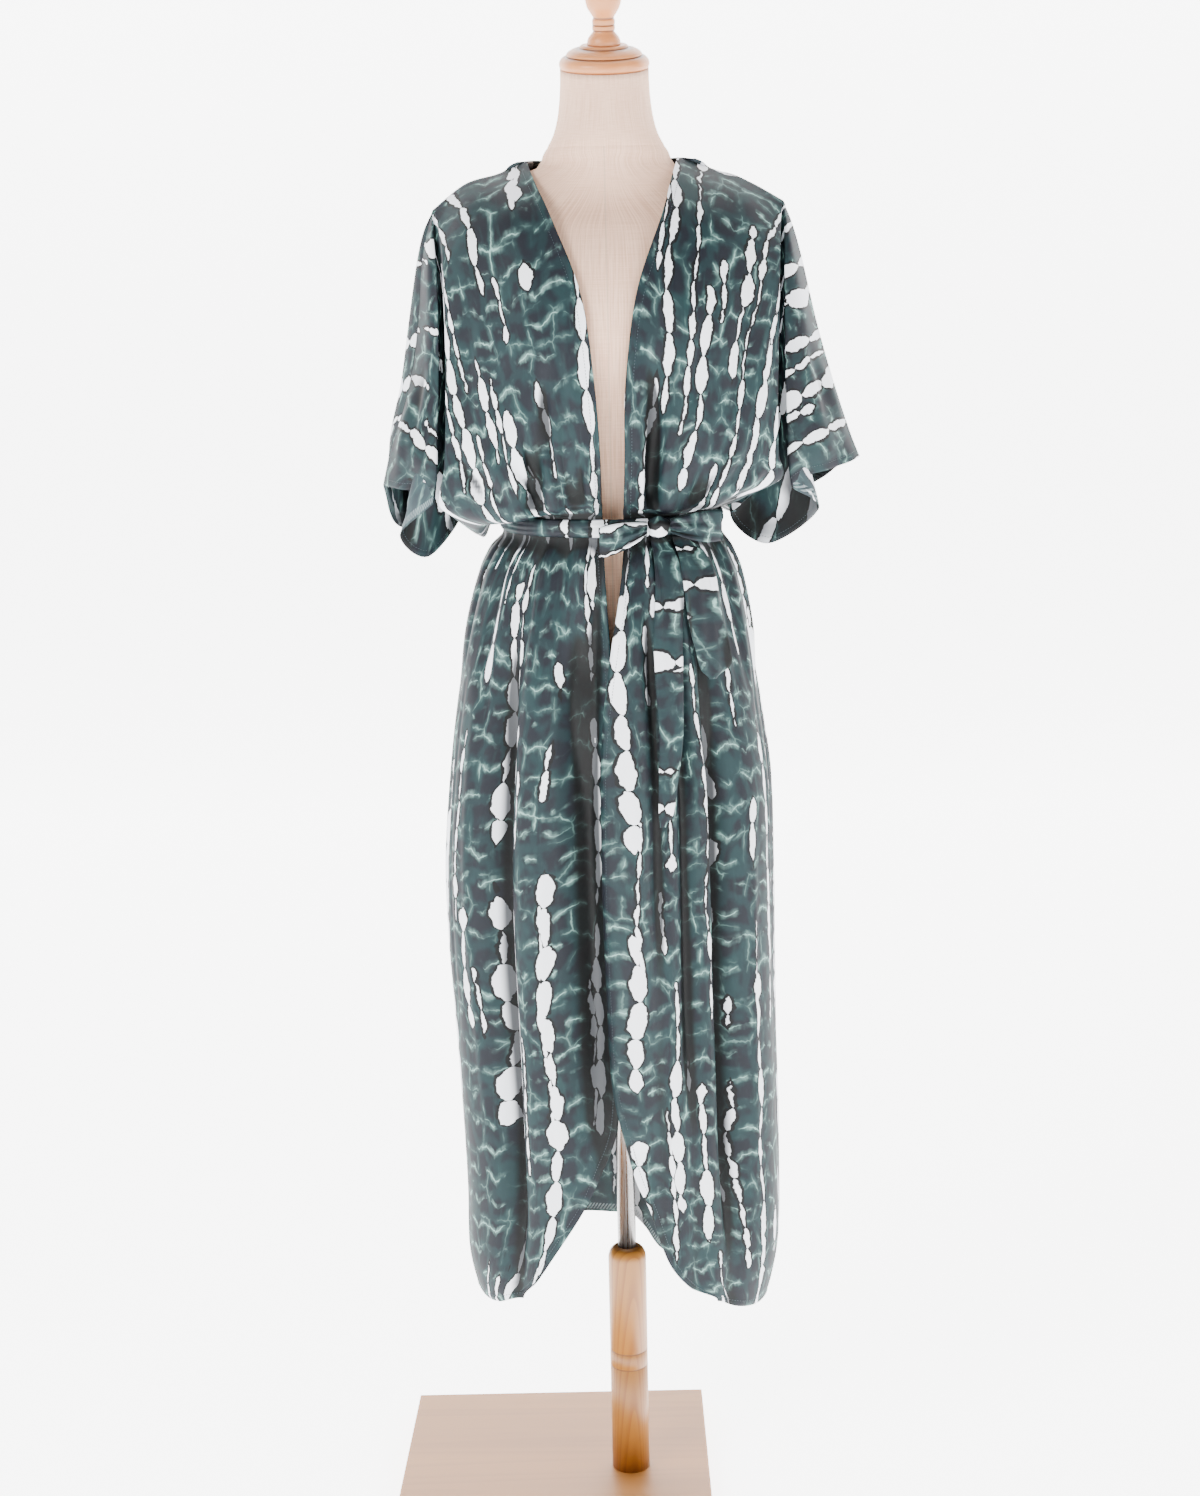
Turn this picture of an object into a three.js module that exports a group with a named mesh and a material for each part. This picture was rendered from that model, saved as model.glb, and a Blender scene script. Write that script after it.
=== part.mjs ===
// A mid-calf kimono dress, open at the front and tied at the waist, on a limbless dress form.
// Millimetres, +Z up. X points to the viewer's right, the front of the dress faces -Y, and the
// origin is on the floor under the pole. "Right" and "left" in names are the wearer's.
import * as THREE from 'three';

// Cloth
const WALL = 1.5;            // thickness of the cloth wall
const SEAM_GAP = 0.3;        // between the panels at a seam
const FORM_CLEARANCE = 3.2;  // from the form's surface to the cloth's outer face
const FRONT_LAP = 6;         // how far the upper front stands off the lower one where they overlap

// Belt
const BELT_LOW = 1036;
const BELT_TOP = 1057;
const BELT_WIDTH = 17;
const BELT_THICK = 3;

// Stand
// The base's corners, seen from above: back right, back left, front left, front right.
const BASE_CORNERS = [[84, 163], [-239.5, 163], [-250, -160], [84, -160]];
const BASE_THICK = 20;
const BASE_EDGE = 2;         // the small bevel round the board
const DOWEL = {
  radius: 20, top: 274, shoulder: 13, drawnIn: 0.75,
  grooves: [139, 157], grooveDepth: 0.6, grooveHalf: 1,
};
const SHOULDER_STEPS = 5;
const SHOULDER_TURN = Math.PI / 2;
const POLE_RADIUS = 9.5;
const CAP_TILT = 12;         // the cap leans forward, in degrees

// A value read from a table of [key, value] rows, eased between them.
function read(table, key, column = 1) {
  const rising = table[1][0] > table[0][0];
  const at = rising ? (row) => row[0] <= key : (row) => row[0] >= key;
  let i = 0;
  while (i < table.length - 2 && at(table[i + 1])) i += 1;
  const [a, b] = [table[i], table[i + 1]];
  const t = Math.min(1, Math.max(0, (key - a[0]) / (b[0] - a[0])));
  const before = table[Math.max(0, i - 1)];
  const after = table[Math.min(table.length - 1, i + 2)];
  const span = b[0] - a[0];
  const slopeIn = before === a ? 0 : (b[column] - before[column]) / (b[0] - before[0]) * span;
  const slopeOut = after === b ? 0 : (after[column] - a[column]) / (after[0] - a[0]) * span;
  const t2 = t * t;
  const t3 = t2 * t;
  return a[column] * (2 * t3 - 3 * t2 + 1) + b[column] * (3 * t2 - 2 * t3)
    + slopeIn * (t3 - 2 * t2 + t) + slopeOut * (t3 - t2);
}

const smooth = (from, to, value) => {
  const t = Math.min(1, Math.max(0, (value - from) / (to - from)));
  return t * t * (3 - 2 * t);
};
const bell = (offset, half) => Math.exp(-((offset / half) ** 2));
const degrees = (angle) => angle * Math.PI / 180;

// The dress form: height, half width, front depth, back depth and roundness of the section.
const FORM = [
  [780, 130, 94, 96, 2.3],
  [870, 136, 103, 107, 2.3],
  [950, 124, 95, 97, 2.3],
  [1050, 97, 80, 74, 2.3],
  [1110, 111, 86, 76, 2.3],
  [1180, 128, 99, 80, 2.3],
  [1235, 137, 106, 84, 2.3],
  [1290, 152, 92, 84, 2.25],
  [1325, 160, 68, 66, 2.05],
  [1339, 160, 52, 54, 1.75],
  [1347, 153, 46, 48, 1.6],
  [1354, 143, 43, 45, 1.5],
  [1363, 122, 42, 44, 1.45],
  [1371, 95, 42, 42, 1.45],
  [1380, 66.5, 43, 41, 1.6],
  [1386, 62, 43, 40.5, 1.62],
  [1392, 60, 45, 43.5, 1.85],
  [1410, 49.8, 47, 48, 2.1],
  [1435, 44, 45, 45, 2],
  [1470, 42, 43, 43, 2],
];

const FORM_BOTTOM = FORM[0][0];
const FORM_NECK = 1400;      // over this height no cloth lies on the form
const NEAR_AXIS = 0.05;      // a point this near the form's axis isn't pushed out

function superellipse(halfWidth, front, back, angle, roundness) {
  const s = Math.sin(angle);
  const c = Math.cos(angle);
  const x = halfWidth * Math.sign(s) * Math.abs(s) ** (2 / roundness);
  const y = -(c > 0 ? front : back) * Math.sign(c) * Math.abs(c) ** (2 / roundness);
  return [x, y];
}

// Pushes a point of the cloth out until it is clear of the form.
function clearOfForm([x, y, z]) {
  if (z < FORM_BOTTOM || z > FORM_NECK) return [x, y, z];
  const wide = read(FORM, z, 1) + FORM_CLEARANCE;
  const deep = read(FORM, z, y < 0 ? 2 : 3) + FORM_CLEARANCE;
  const round = read(FORM, z, 4);
  const inside = (Math.abs(x / wide) ** round + Math.abs(y / deep) ** round) ** (1 / round);
  if (inside >= 1 || inside < NEAR_AXIS) return [x, y, z];
  return [x / inside, y / inside, z];
}

// Skirt: the outline of the tube under the belt at each height.
const SKIRT_ROUNDNESS = 2.25;
// height, viewer's left, viewer's right, front, back
const SKIRT = [
  [1036, 108, 105, 100, 88],
  [1017, 120, 113, 108, 95],
  [995, 131, 122, 114, 103],
  [945, 145, 132, 121, 113],
  [857, 162, 144, 126, 121],
  [790, 171.5, 153, 127, 121],
  [709, 178.5, 155.5, 126, 119],
  [624, 178, 156.5, 123, 116],
  [556, 174.5, 157.5, 121, 114],
  [462, 170, 160, 119, 112],
  [357, 166.5, 162, 117, 110],
  [290, 167, 161, 114, 108],
  [250, 160, 154, 110, 106],
  [235, 154, 150, 108, 104],
];

// Skirt folds. A fold's bearing at the belt and at the hem and its half width are in degrees, from
// the front's middle and minus to the viewer's left. Its depth is minus for a valley. It begins at
// the height top, is full from the height full down, and fades at the height low.
const SKIRT_FOLDS = [
  { belt: -62, hem: -62, half: 13, depth: 5, top: 1000, full: 850, low: 200 },
  { belt: -40, hem: -42, half: 5, depth: -16, top: 970, full: 820, low: 240 },
  { belt: -27, hem: -27, half: 8, depth: 6, top: 1010, full: 860, low: 330 },
  { belt: -13, hem: -7, half: 7, depth: -20, top: 1010, full: 860, low: 400 },
  { belt: 4, hem: 6, half: 6, depth: 4, top: 980, full: 800, low: 500 },
  { belt: 12, hem: 12, half: 3.6, depth: -8, top: 1000, full: 900, low: 560 },
  { belt: 23, hem: 24, half: 4, depth: -12, top: 1000, full: 850, low: 420 },
  { belt: 38, hem: 40, half: 5, depth: -17, top: 1010, full: 850, low: 280 },
  { belt: 60, hem: 58, half: 14, depth: 6, top: 1000, full: 850, low: 200 },
  { belt: 82, hem: 84, half: 7, depth: -6, top: 960, full: 800, low: 300 },
  { belt: -84, hem: -86, half: 6, depth: -6, top: 960, full: 800, low: 320 },
  { belt: 108, hem: 106, half: 10, depth: 6, top: 1000, full: 850, low: 260 },
  { belt: 128, hem: 126, half: 6, depth: -15, top: 1000, full: 840, low: 280 },
  { belt: 150, hem: 147, half: 11, depth: 6, top: 990, full: 820, low: 240 },
  { belt: 171, hem: 168, half: 6, depth: -14, top: 1010, full: 860, low: 330 },
  { belt: -168, hem: -164, half: 10, depth: 5, top: 990, full: 830, low: 260 },
  { belt: -146, hem: -148, half: 6.5, depth: -16, top: 1000, full: 850, low: 250 },
  { belt: -124, hem: -120, half: 11, depth: 6, top: 980, full: 820, low: 300 },
  { belt: -104, hem: -103, half: 6, depth: -12, top: 990, full: 850, low: 380 },
];
const GATHER_COUNT = 22;     // small gathers round the belt
const GATHER_DEPTH = 3.2;
const GATHER_HEIGHTS = [1038, 1015, 940, 860];   // where they begin, are full, still are, are gone
const FOLD_FADE = 160;       // over this height a fold dies away at its lower end
const FOLD_LOSS = 0.75;      // the share of its depth that it loses there

function skirtRelief(bearing, z) {
  let relief = 0;
  for (const fold of SKIRT_FOLDS) {
    const down = (BELT_LOW - z) / (BELT_LOW - 250);
    const at = fold.belt + (fold.hem - fold.belt) * down;
    const offset = (bearing - at + 540) % 360 - 180;
    const lower = 1 - FOLD_LOSS * smooth(fold.low + FOLD_FADE, fold.low, z);
    const fade = smooth(fold.top, fold.full, z) * lower;
    relief += fold.depth * bell(offset, fold.half) * fade;
  }
  const wave = Math.cos(degrees(bearing) * GATHER_COUNT + 1.7 * Math.sin(degrees(bearing) * 3));
  const [begin, full, still, gone] = GATHER_HEIGHTS;
  const near = smooth(begin, full, z) * (1 - smooth(still, gone, z));
  return relief + GATHER_DEPTH * wave * near;
}

// The skirt's outline at a bearing and height, without its folds.
function skirtOutline(bearing, z) {
  const halfWidth = read(SKIRT, z, bearing < 0 ? 1 : 2);
  return superellipse(halfWidth, read(SKIRT, z, 3), read(SKIRT, z, 4), degrees(bearing), SKIRT_ROUNDNESS);
}

// A point of the skirt at a bearing (degrees) and height, pushed out by lift.
function skirtPoint(bearing, z, lift = 0) {
  const [x, y] = skirtOutline(bearing, z);
  const reach = 1 + (skirtRelief(bearing, z) + lift) / Math.hypot(x, y);
  return clearOfForm([x * reach, y * reach, z]);
}

// The bearing at which the front of the skirt has a given x.
function bearingOf(x, z) {
  const halfWidth = read(SKIRT, z, x < 0 ? 1 : 2);
  const part = Math.min(1, Math.abs(x) / halfWidth) ** (SKIRT_ROUNDNESS / 2);
  return Math.sign(x) * Math.asin(part) * 180 / Math.PI;
}

// The front edges under the belt: height and x. Below the lap they curve away to the sides.
const EDGE_RIGHT_FRONT = [
  [1036, -10.5], [934, -6], [840, -1], [690, 1], [588, -2], [500, -5], [443, -10],
  [400, -27], [360, -46], [315, -72], [280, -93], [256, -112],
];
const EDGE_LEFT_FRONT = [
  [1036, 9], [1000, 6], [934, -5], [839, -17], [690, -20], [588, -18], [500, -14], [438, -1],
  [394, 10], [366, 22], [320, 36], [295, 47], [272, 66], [254, 92],
];
const LAP_HEIGHTS = [1020, 940, 455, 420];   // where the lap begins, is full, ends, is gone
const LAP_SIDE = [8, 34];    // x over which the lap's lift dies away to the side

// Levels of the bodice, from the shoulder seam to the top of the belt, and rows between them.
const LEVEL_STEPS = [2, 2, 2, 2, 2, 2, 1, 1, 1];
const DROP_LEVEL = 6;        // the level of the cuffs and of the lowest point of the side folds

// Guide lines of the panels: one row for each level, with x, y and z.
// Levels: seam, collar, chest, bust, under bust, above belt, drop, sag, tuck, belt top.
const RIGHT_FRONT = {
  edge: [
    [-76, 0, 1387], [-67, -42, 1365], [-52, -78, 1332], [-26, -109, 1262], [-15.5, -112, 1180],
    [-11.5, -107, 1115], [-11, -102, 1075], [-11, -101, 1068], [-11, -100.5, 1062], [-11, -100, 1057],
  ],
  bust: [
    [-103, 0, 1376], [-97, -44, 1354], [-90, -82, 1318], [-78, -110, 1245], [-70, -114, 1175],
    [-60, -111, 1112], [-54, -102, 1072], [-52, -98, 1064], [-49, -96, 1060], [-46, -93, 1057],
  ],
  outer: [
    [-135, 0, 1367], [-131, -38, 1342], [-127, -66, 1305], [-121, -92, 1238], [-116, -101, 1172],
    [-110, -101, 1108], [-102, -92, 1060], [-94, -84, 1052], [-86, -76, 1056], [-78, -72, 1057],
  ],
  ridge: [
    [-166, 0, 1344], [-159, -24, 1321], [-156, -47, 1290], [-155, -67, 1230], [-156, -77, 1168],
    [-159, -79, 1105], [-163, -68, 1066], [-134, -57, 1048], [-114, -51, 1049], [-98, -42, 1057],
  ],
  under: [
    null, null, null, null, null, null,
    [-156, -34, 1053], [-132, -20, 1034], [-120, -18, 1046], [-105, -16, 1057],
  ],
  side: [
    null, null, null, null, null, null,
    [-149, 4, 1050], [-129, 9, 1027], [-119, 8, 1044], [-106, 6, 1057],
  ],
  valley: [
    [-166, 0, 1344], [-164, -11, 1321], [-160, -22, 1288], [-158, -30, 1230], [-156, -33, 1168],
    [-154, -20, 1105], [-149, 4, 1050],
  ],
  loop: [
    [-166, 0, 1344], [-165, -12, 1321], [-161.5, -25, 1288], [-160, -35, 1230], [-162, -39, 1165],
    [-168, -29, 1092], [-183, -8, 1011],
  ],
  tuckIn: [
    [-166, 0, 1344], [-165.5, -13, 1321], [-163, -29, 1288], [-163, -41, 1230], [-168, -44, 1168],
    [-184, -41, 1105], [-207, -32, 1036],
  ],
  pleat: [
    [-166, 0, 1344], [-166.5, -14, 1321], [-164, -33, 1288], [-163, -47, 1230], [-164, -57, 1170],
    [-167, -62, 1112], [-170, -57, 1073],
  ],
  sleeve: [
    [-166, 0, 1344], [-169, -12, 1321], [-172, -27, 1287], [-173, -38, 1231], [-179, -45, 1175],
    [-195, -47, 1118], [-203, -32, 1080],
  ],
  top: [
    [-166, 0, 1344], [-173, -3, 1322], [-179, -8, 1289], [-184, -14, 1233], [-194, -16, 1178],
    [-213, -11, 1122], [-225, 0, 1082],
  ],
};
const LEFT_FRONT = {
  edge: [
    [68, 0, 1388], [60, -42, 1366], [50, -76, 1334], [25, -107, 1265], [13, -112, 1182],
    [11, -107, 1115], [9.5, -102, 1075], [9.5, -101, 1068], [9, -100.5, 1062], [9, -100, 1057],
  ],
  bust: [
    [100, 0, 1377], [95, -44, 1354], [88, -82, 1318], [76, -110, 1245], [68, -114, 1175],
    [58, -111, 1112], [52, -104, 1068], [50, -99, 1060], [47, -95, 1058], [44, -93, 1057],
  ],
  outer: [
    [134, 0, 1365], [131, -38, 1341], [128, -66, 1304], [123, -92, 1236], [119, -101, 1170],
    [116, -102, 1112], [108, -94, 1075], [96, -82, 1064], [86, -74, 1059], [77, -71, 1057],
  ],
  ridge: [
    [168, 0, 1346], [164, -24, 1322], [162, -47, 1290], [159, -68, 1228], [157, -78, 1165],
    [157, -80, 1112], [159, -68, 1089], [130, -52, 1073], [110, -45, 1062], [97, -41, 1057],
  ],
  under: [
    null, null, null, null, null, null,
    [136, -32, 1068], [122, -20, 1064], [110, -17, 1061], [102, -16, 1057],
  ],
  side: [
    null, null, null, null, null, null,
    [116, 4, 1047], [113.5, 4, 1054], [109, 4, 1059], [103.5, 4, 1057],
  ],
  valley: [
    [168, 0, 1346], [166, -11, 1322], [163, -22, 1289], [159, -30, 1229], [155, -30, 1165],
    [143, -15, 1101], [116, 4, 1047],
  ],
  loop: [
    [168, 0, 1346], [167, -12, 1322], [165, -25, 1289], [163, -36, 1230], [163, -39, 1166],
    [163, -24, 1096], [152, 1, 1016],
  ],
  tuckIn: [
    [168, 0, 1346], [168, -13, 1322], [167, -29, 1289], [167, -42, 1230], [171, -46, 1170],
    [183, -44, 1112], [199, -35, 1053],
  ],
  pleat: [
    [168, 0, 1346], [169, -14, 1322], [168, -33, 1289], [167, -48, 1230], [167, -57, 1172],
    [168, -62, 1118], [171, -60, 1080],
  ],
  sleeve: [
    [168, 0, 1346], [172, -12, 1323], [177, -26, 1291], [186, -36, 1232], [194, -42, 1180],
    [206, -44, 1123], [212, -36, 1092],
  ],
  top: [
    [168, 0, 1346], [177, 0, 1325], [186, 0, 1294], [200, 0, 1234], [214, 0, 1184],
    [232, 0, 1128], [243, 0, 1100],
  ],
};
// The back, one half; the other half is its mirror, apart from what the fronts give.
const BACK = {
  middle: [
    [0, 54, 1384], [0, 68, 1353], [0, 82, 1315], [0, 93, 1245], [0, 93, 1175],
    [0, 91, 1110], [0, 90, 1072], [0, 90, 1066], [0, 89, 1061], [0, 88, 1057],
  ],
  neck: [
    [76, 0, 1387], [74, 44, 1365], [72, 70, 1330], [69, 92, 1255], [65, 96, 1180],
    [58, 93, 1112], [54, 86, 1068], [51, 82, 1061], [48, 79, 1059], [45, 78, 1057],
  ],
  yoke: [
    [102, 0, 1376], [98, 42, 1355], [96, 67, 1318], [93, 89, 1248], [90, 94, 1176],
    [85, 92, 1110], [79, 83, 1064], [73, 77, 1056], [66, 72, 1057], [62, 70, 1057],
  ],
  blade: [
    [128, 0, 1368], [124, 38, 1342], [121, 62, 1305], [119, 82, 1240], [117, 90, 1172],
    [113, 90, 1108], [106, 78, 1060], [96, 70, 1050], [86, 62, 1056], [78, 59, 1057],
  ],
  ridge: [
    [167, 0, 1345], [162, 22, 1321], [161, 42, 1288], [162, 58, 1230], [163, 66, 1165],
    [161, 64, 1104], [154, 46, 1058], [132, 38, 1040], [112, 33, 1050], [98, 30, 1057],
  ],
  sleeve: [
    [167, 0, 1345], [168, 16, 1321], [171, 32, 1288], [178, 44, 1230], [186, 50, 1170],
    [193, 48, 1115], [194, 42, 1062],
  ],
  valley: [
    [167, 0, 1345], [166, 12, 1321], [163, 25, 1288], [161, 32, 1230], [159, 33, 1168],
    [155, 24, 1105], [152, 4, 1050],
  ],
};
// The back's outermost line on the viewer's left stands a little past the sleeve's top seam.
const BACK_TURN_RIGHT = [
  [-166, 0, 1344], [-177, 4, 1322], [-185, 6, 1290], [-195, 8, 1234], [-204, 9, 1180],
  [-216.5, 10, 1122], [-216.5, 20, 1042],
];
const BACK_TURN_LEFT = [
  [168, 0, 1346], [176, 8, 1323], [185, 14, 1291], [198, 20, 1232], [211, 24, 1180],
  [227, 18, 1132], [234, 12, 1096],
];

// The back's hem behind each sleeve's middle.
const BACK_CUFF = { right: [-192, 42, 1034], left: [190, 40, 1066] };

// Folds of the bodice, radiating from the belt: x at the top, x at the belt, height of the top,
// half width and depth.
const BODICE_FOLDS = [
  { top: -62, belt: -80, height: 1200, half: 9, depth: -14 },
  { top: -118, belt: -60, height: 1140, half: 8, depth: -8 },
  { top: -88, belt: -70, height: 1170, half: 9, depth: 4 },
  { top: -36, belt: -32, height: 1150, half: 7, depth: -5 },
  { top: 40, belt: 36, height: 1220, half: 8, depth: -12 },
  { top: 66, belt: 52, height: 1180, half: 8, depth: 4 },
  { top: 98, belt: 66, height: 1150, half: 9, depth: -8 },
  { top: 126, belt: 80, height: 1130, half: 9, depth: 4 },
];
const BACK_BODICE_FOLDS = [
  { top: -104, belt: -62, height: 1180, half: 9, depth: -8 },
  { top: -44, belt: -34, height: 1200, half: 9, depth: -7 },
  { top: 12, belt: 4, height: 1170, half: 8, depth: -6 },
  { top: 58, belt: 38, height: 1210, half: 9, depth: -8 },
  { top: 112, belt: 70, height: 1160, half: 9, depth: -6 },
];

function bodiceRelief(folds, x, z) {
  let relief = 0;
  for (const fold of folds) {
    const up = Math.min(1, Math.max(0, (z - BELT_TOP) / (fold.height - BELT_TOP)));
    const at = fold.belt + (fold.top - fold.belt) * up;
    const fade = (1 - up) * smooth(BELT_TOP + 2, BELT_TOP + 24, z);
    relief += fold.depth * bell(x - at, fold.half) * fade;
  }
  return relief;
}

// Catmull-Rom through four values.
function spline(a, b, c, d, t) {
  return a.map((_, k) => 0.5 * (2 * b[k] + (c[k] - a[k]) * t
    + (2 * a[k] - 5 * b[k] + 4 * c[k] - d[k]) * t * t
    + (3 * b[k] - a[k] - 3 * c[k] + d[k]) * t ** 3));
}

function alongSpline(points, steps) {
  const out = [];
  for (let i = 0; i < points.length - 1; i += 1) {
    const before = points[Math.max(0, i - 1)];
    const after = points[Math.min(points.length - 1, i + 2)];
    for (let k = 0; k < steps[i]; k += 1) {
      out.push(spline(before, points[i], points[i + 1], after, k / steps[i]));
    }
  }
  out.push(points[points.length - 1]);
  return out;
}

// Rows of a guide line between two levels.
function guideRows(guide, from, to) {
  return alongSpline(guide.slice(from, to + 1), LEVEL_STEPS.slice(from, to));
}

// Rows of points across several guide lines, with a number of columns between each two.
function across(guides, columns, from, to) {
  const lines = guides.map((guide) => guideRows(guide, from, to));
  return lines[0].map((_, row) => alongSpline(lines.map((line) => line[row]), columns));
}

// A closed wall from sheets of rows of points. Sheets that share a line of points are joined there.
// Faces wind so that the outside is to the right of the row when it is read downwards.
// seamPoints are the points that lie on a seam: the wall is mitred there, so it ends on the seam.
function clothWall(sheets, seamPoints) {
  const points = [];
  const index = new Map();
  const keyOf = (p) => p.map((v) => Math.round(v * 200)).join(' ');
  const idOf = (p) => {
    const key = keyOf(p);
    if (!index.has(key)) {
      index.set(key, points.length);
      points.push(new THREE.Vector3(...p));
    }
    return index.get(key);
  };
  const triangles = [];
  const face = (a, b, c) => {
    if (a !== b && b !== c && c !== a) triangles.push([a, b, c]);
  };
  for (const { rows, flip } of sheets) {
    for (let i = 0; i < rows.length - 1; i += 1) {
      for (let j = 0; j < rows[i].length - 1; j += 1) {
        const [a, b] = [idOf(rows[i][j]), idOf(rows[i][j + 1])];
        const [c, d] = [idOf(rows[i + 1][j + 1]), idOf(rows[i + 1][j])];
        if (flip) {
          face(a, b, c);
          face(a, c, d);
        } else {
          face(a, c, b);
          face(a, d, c);
        }
      }
    }
  }
  const normals = points.map(() => new THREE.Vector3());
  const edges = new Map();
  for (const [a, b, c] of triangles) {
    const u = points[b].clone().sub(points[a]);
    const v = points[c].clone().sub(points[a]);
    const normal = u.cross(v).normalize();
    for (const id of [a, b, c]) normals[id].add(normal);
    for (const [from, to] of [[a, b], [b, c], [c, a]]) {
      if (edges.has(`${to} ${from}`)) edges.delete(`${to} ${from}`);
      else edges.set(`${from} ${to}`, [from, to]);
    }
  }
  const seamKeys = new Set(seamPoints.map(keyOf));
  const inner = points.map((point, id) => {
    const normal = normals[id].clone();
    if (seamKeys.has(keyOf(point.toArray()))) normal.y = 0;
    return point.clone().addScaledVector(normal.normalize(), -WALL);
  });
  const count = points.length;
  const faces = [];
  for (const [a, b, c] of triangles) {
    faces.push(a, b, c, a + count, c + count, b + count);
  }
  for (const [from, to] of edges.values()) {
    faces.push(from, from + count, to + count, from, to + count, to);
  }
  const geometry = new THREE.BufferGeometry();
  const flat = [...points, ...inner].flatMap((p) => p.toArray());
  geometry.setAttribute('position', new THREE.Float32BufferAttribute(flat, 3));
  geometry.setIndex(faces);
  return geometry;
}

const BODY_COLUMNS = [5, 5, 5];       // between edge, bust, outer and ridge
const SIDE_COLUMNS = [3, 3];          // between ridge, under and side
const SLEEVE_COLUMNS = [6, 2, 2, 2, 2, 3];   // ridge, valley, loop, tuck, pleat, sleeve, top
const FRONT_COLUMNS = 21;             // all columns of a front, the same above and below the belt
const BACK_BODY_COLUMNS = [4, 3, 2, 4];  // ridge, blade, yoke, neck, middle
const BACK_SLEEVE_COLUMNS = [3, 3, 3, 2];    // ridge, valley, sleeve, turn, top
const BACK_SIDE_COLUMNS = 3;
const NECK_HALF = 75;        // half width of the back neck; the shoulder seams lie outside it

// Heights of the skirt's rows, closer together where the front edge curves.
const SKIRT_HEIGHTS = [
  1036, 1019, 998, 965, 920, 865, 790, 705, 620, 530,
  455, 422, 392, 364, 338, 314, 292, 273,
];
// Bearing and height of the hem.
const HEM = [
  [-180, 265], [-165, 268], [-135, 260], [-110, 251], [-90, 245], [-72, 243], [-55, 246],
  [-42, 256], [32, 254], [45, 241], [58, 235], [75, 235], [90, 235], [110, 227], [135, 218],
  [158, 215], [167, 226], [174, 250], [180, 265],
];

const shift = (points, y) => points.map(([px, py, pz]) => [px, py + y, pz]);

// Lift of the upper front over the lower one at the lap.
function lapLift(x, z) {
  const [begins, full, ends, gone] = LAP_HEIGHTS;
  return FRONT_LAP * smooth(begins, full, z) * (1 - smooth(ends, gone, z)) * (1 - smooth(...LAP_SIDE, x));
}

// One front with its half of the sleeve. The side is -1 on the viewer's left.
function frontPanel(guides, edgeTable, side) {
  const levels = LEVEL_STEPS.length;
  const dropRow = LEVEL_STEPS.slice(0, DROP_LEVEL).reduce((sum, n) => sum + n, 0);
  const seamSide = -SEAM_GAP / 2;
  const body = across(
    [guides.edge, guides.bust, guides.outer, guides.ridge], BODY_COLUMNS, 0, levels,
  ).map((row) => row.map(([x, y, z]) => clearOfForm([x, y - bodiceRelief(BODICE_FOLDS, x, z), z])));
  body[0] = shift(body[0], seamSide);
  const ridge = body.map((row) => row[row.length - 1]);
  const sides = across([guides.ridge, guides.under, guides.side], SIDE_COLUMNS, DROP_LEVEL, levels);
  const under = sides.map((row, i) => row.map((p, j) => (j === 0 ? ridge[dropRow + i] : p)));
  for (const row of under) row[row.length - 1] = shift([row[row.length - 1]], seamSide)[0];
  const sleeve = across(
    [guides.ridge, guides.valley, guides.loop, guides.tuckIn, guides.pleat, guides.sleeve, guides.top],
    SLEEVE_COLUMNS, 0, DROP_LEVEL,
  ).map((row, i) => row.map((p, j) => {
    if (j === 0 || i === 0) return ridge[i];
    return j === row.length - 1 ? shift([p], seamSide)[0] : clearOfForm(p);
  }));
  const hemRow = sleeve[sleeve.length - 1];
  under[0].forEach((p, j) => { hemRow[j] = p; });
  // Below the belt the columns run on at even bearings.
  const edgeX = (z) => read(edgeTable, z);
  const lowest = edgeTable[edgeTable.length - 1][0];
  const skirt = [...SKIRT_HEIGHTS, null].map((height) => {
    const edgeZ = height ?? lowest;
    const from = bearingOf(edgeX(edgeZ), edgeZ);
    const row = [];
    for (let j = 0; j <= FRONT_COLUMNS; j += 1) {
      const bearing = from + (side * 90 - from) * j / FRONT_COLUMNS;
      const z = height ?? read(HEM, bearing);
      const [x] = skirtPoint(bearing, z);
      const lift = side > 0 ? lapLift(x, z) : 0;
      const p = skirtPoint(bearing, z, lift);
      row.push(j === FRONT_COLUMNS ? [p[0], seamSide, p[2]] : p);
    }
    return row;
  });
  const beltRow = skirt[0].map(([x, y]) => [x, y, BELT_TOP]);
  body[body.length - 1] = beltRow.slice(0, body[0].length);
  under[under.length - 1] = beltRow.slice(body[0].length - 1);
  skirt.unshift(beltRow);
  const seams = [
    ...body[0], ...sleeve.map((row) => row[row.length - 1]),
    ...under.map((row) => row[row.length - 1]), ...skirt.map((row) => row[row.length - 1]),
  ];
  const flip = side < 0;
  return clothWall([body, under, sleeve, skirt].map((rows) => ({ rows, flip })), seams);
}

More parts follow.
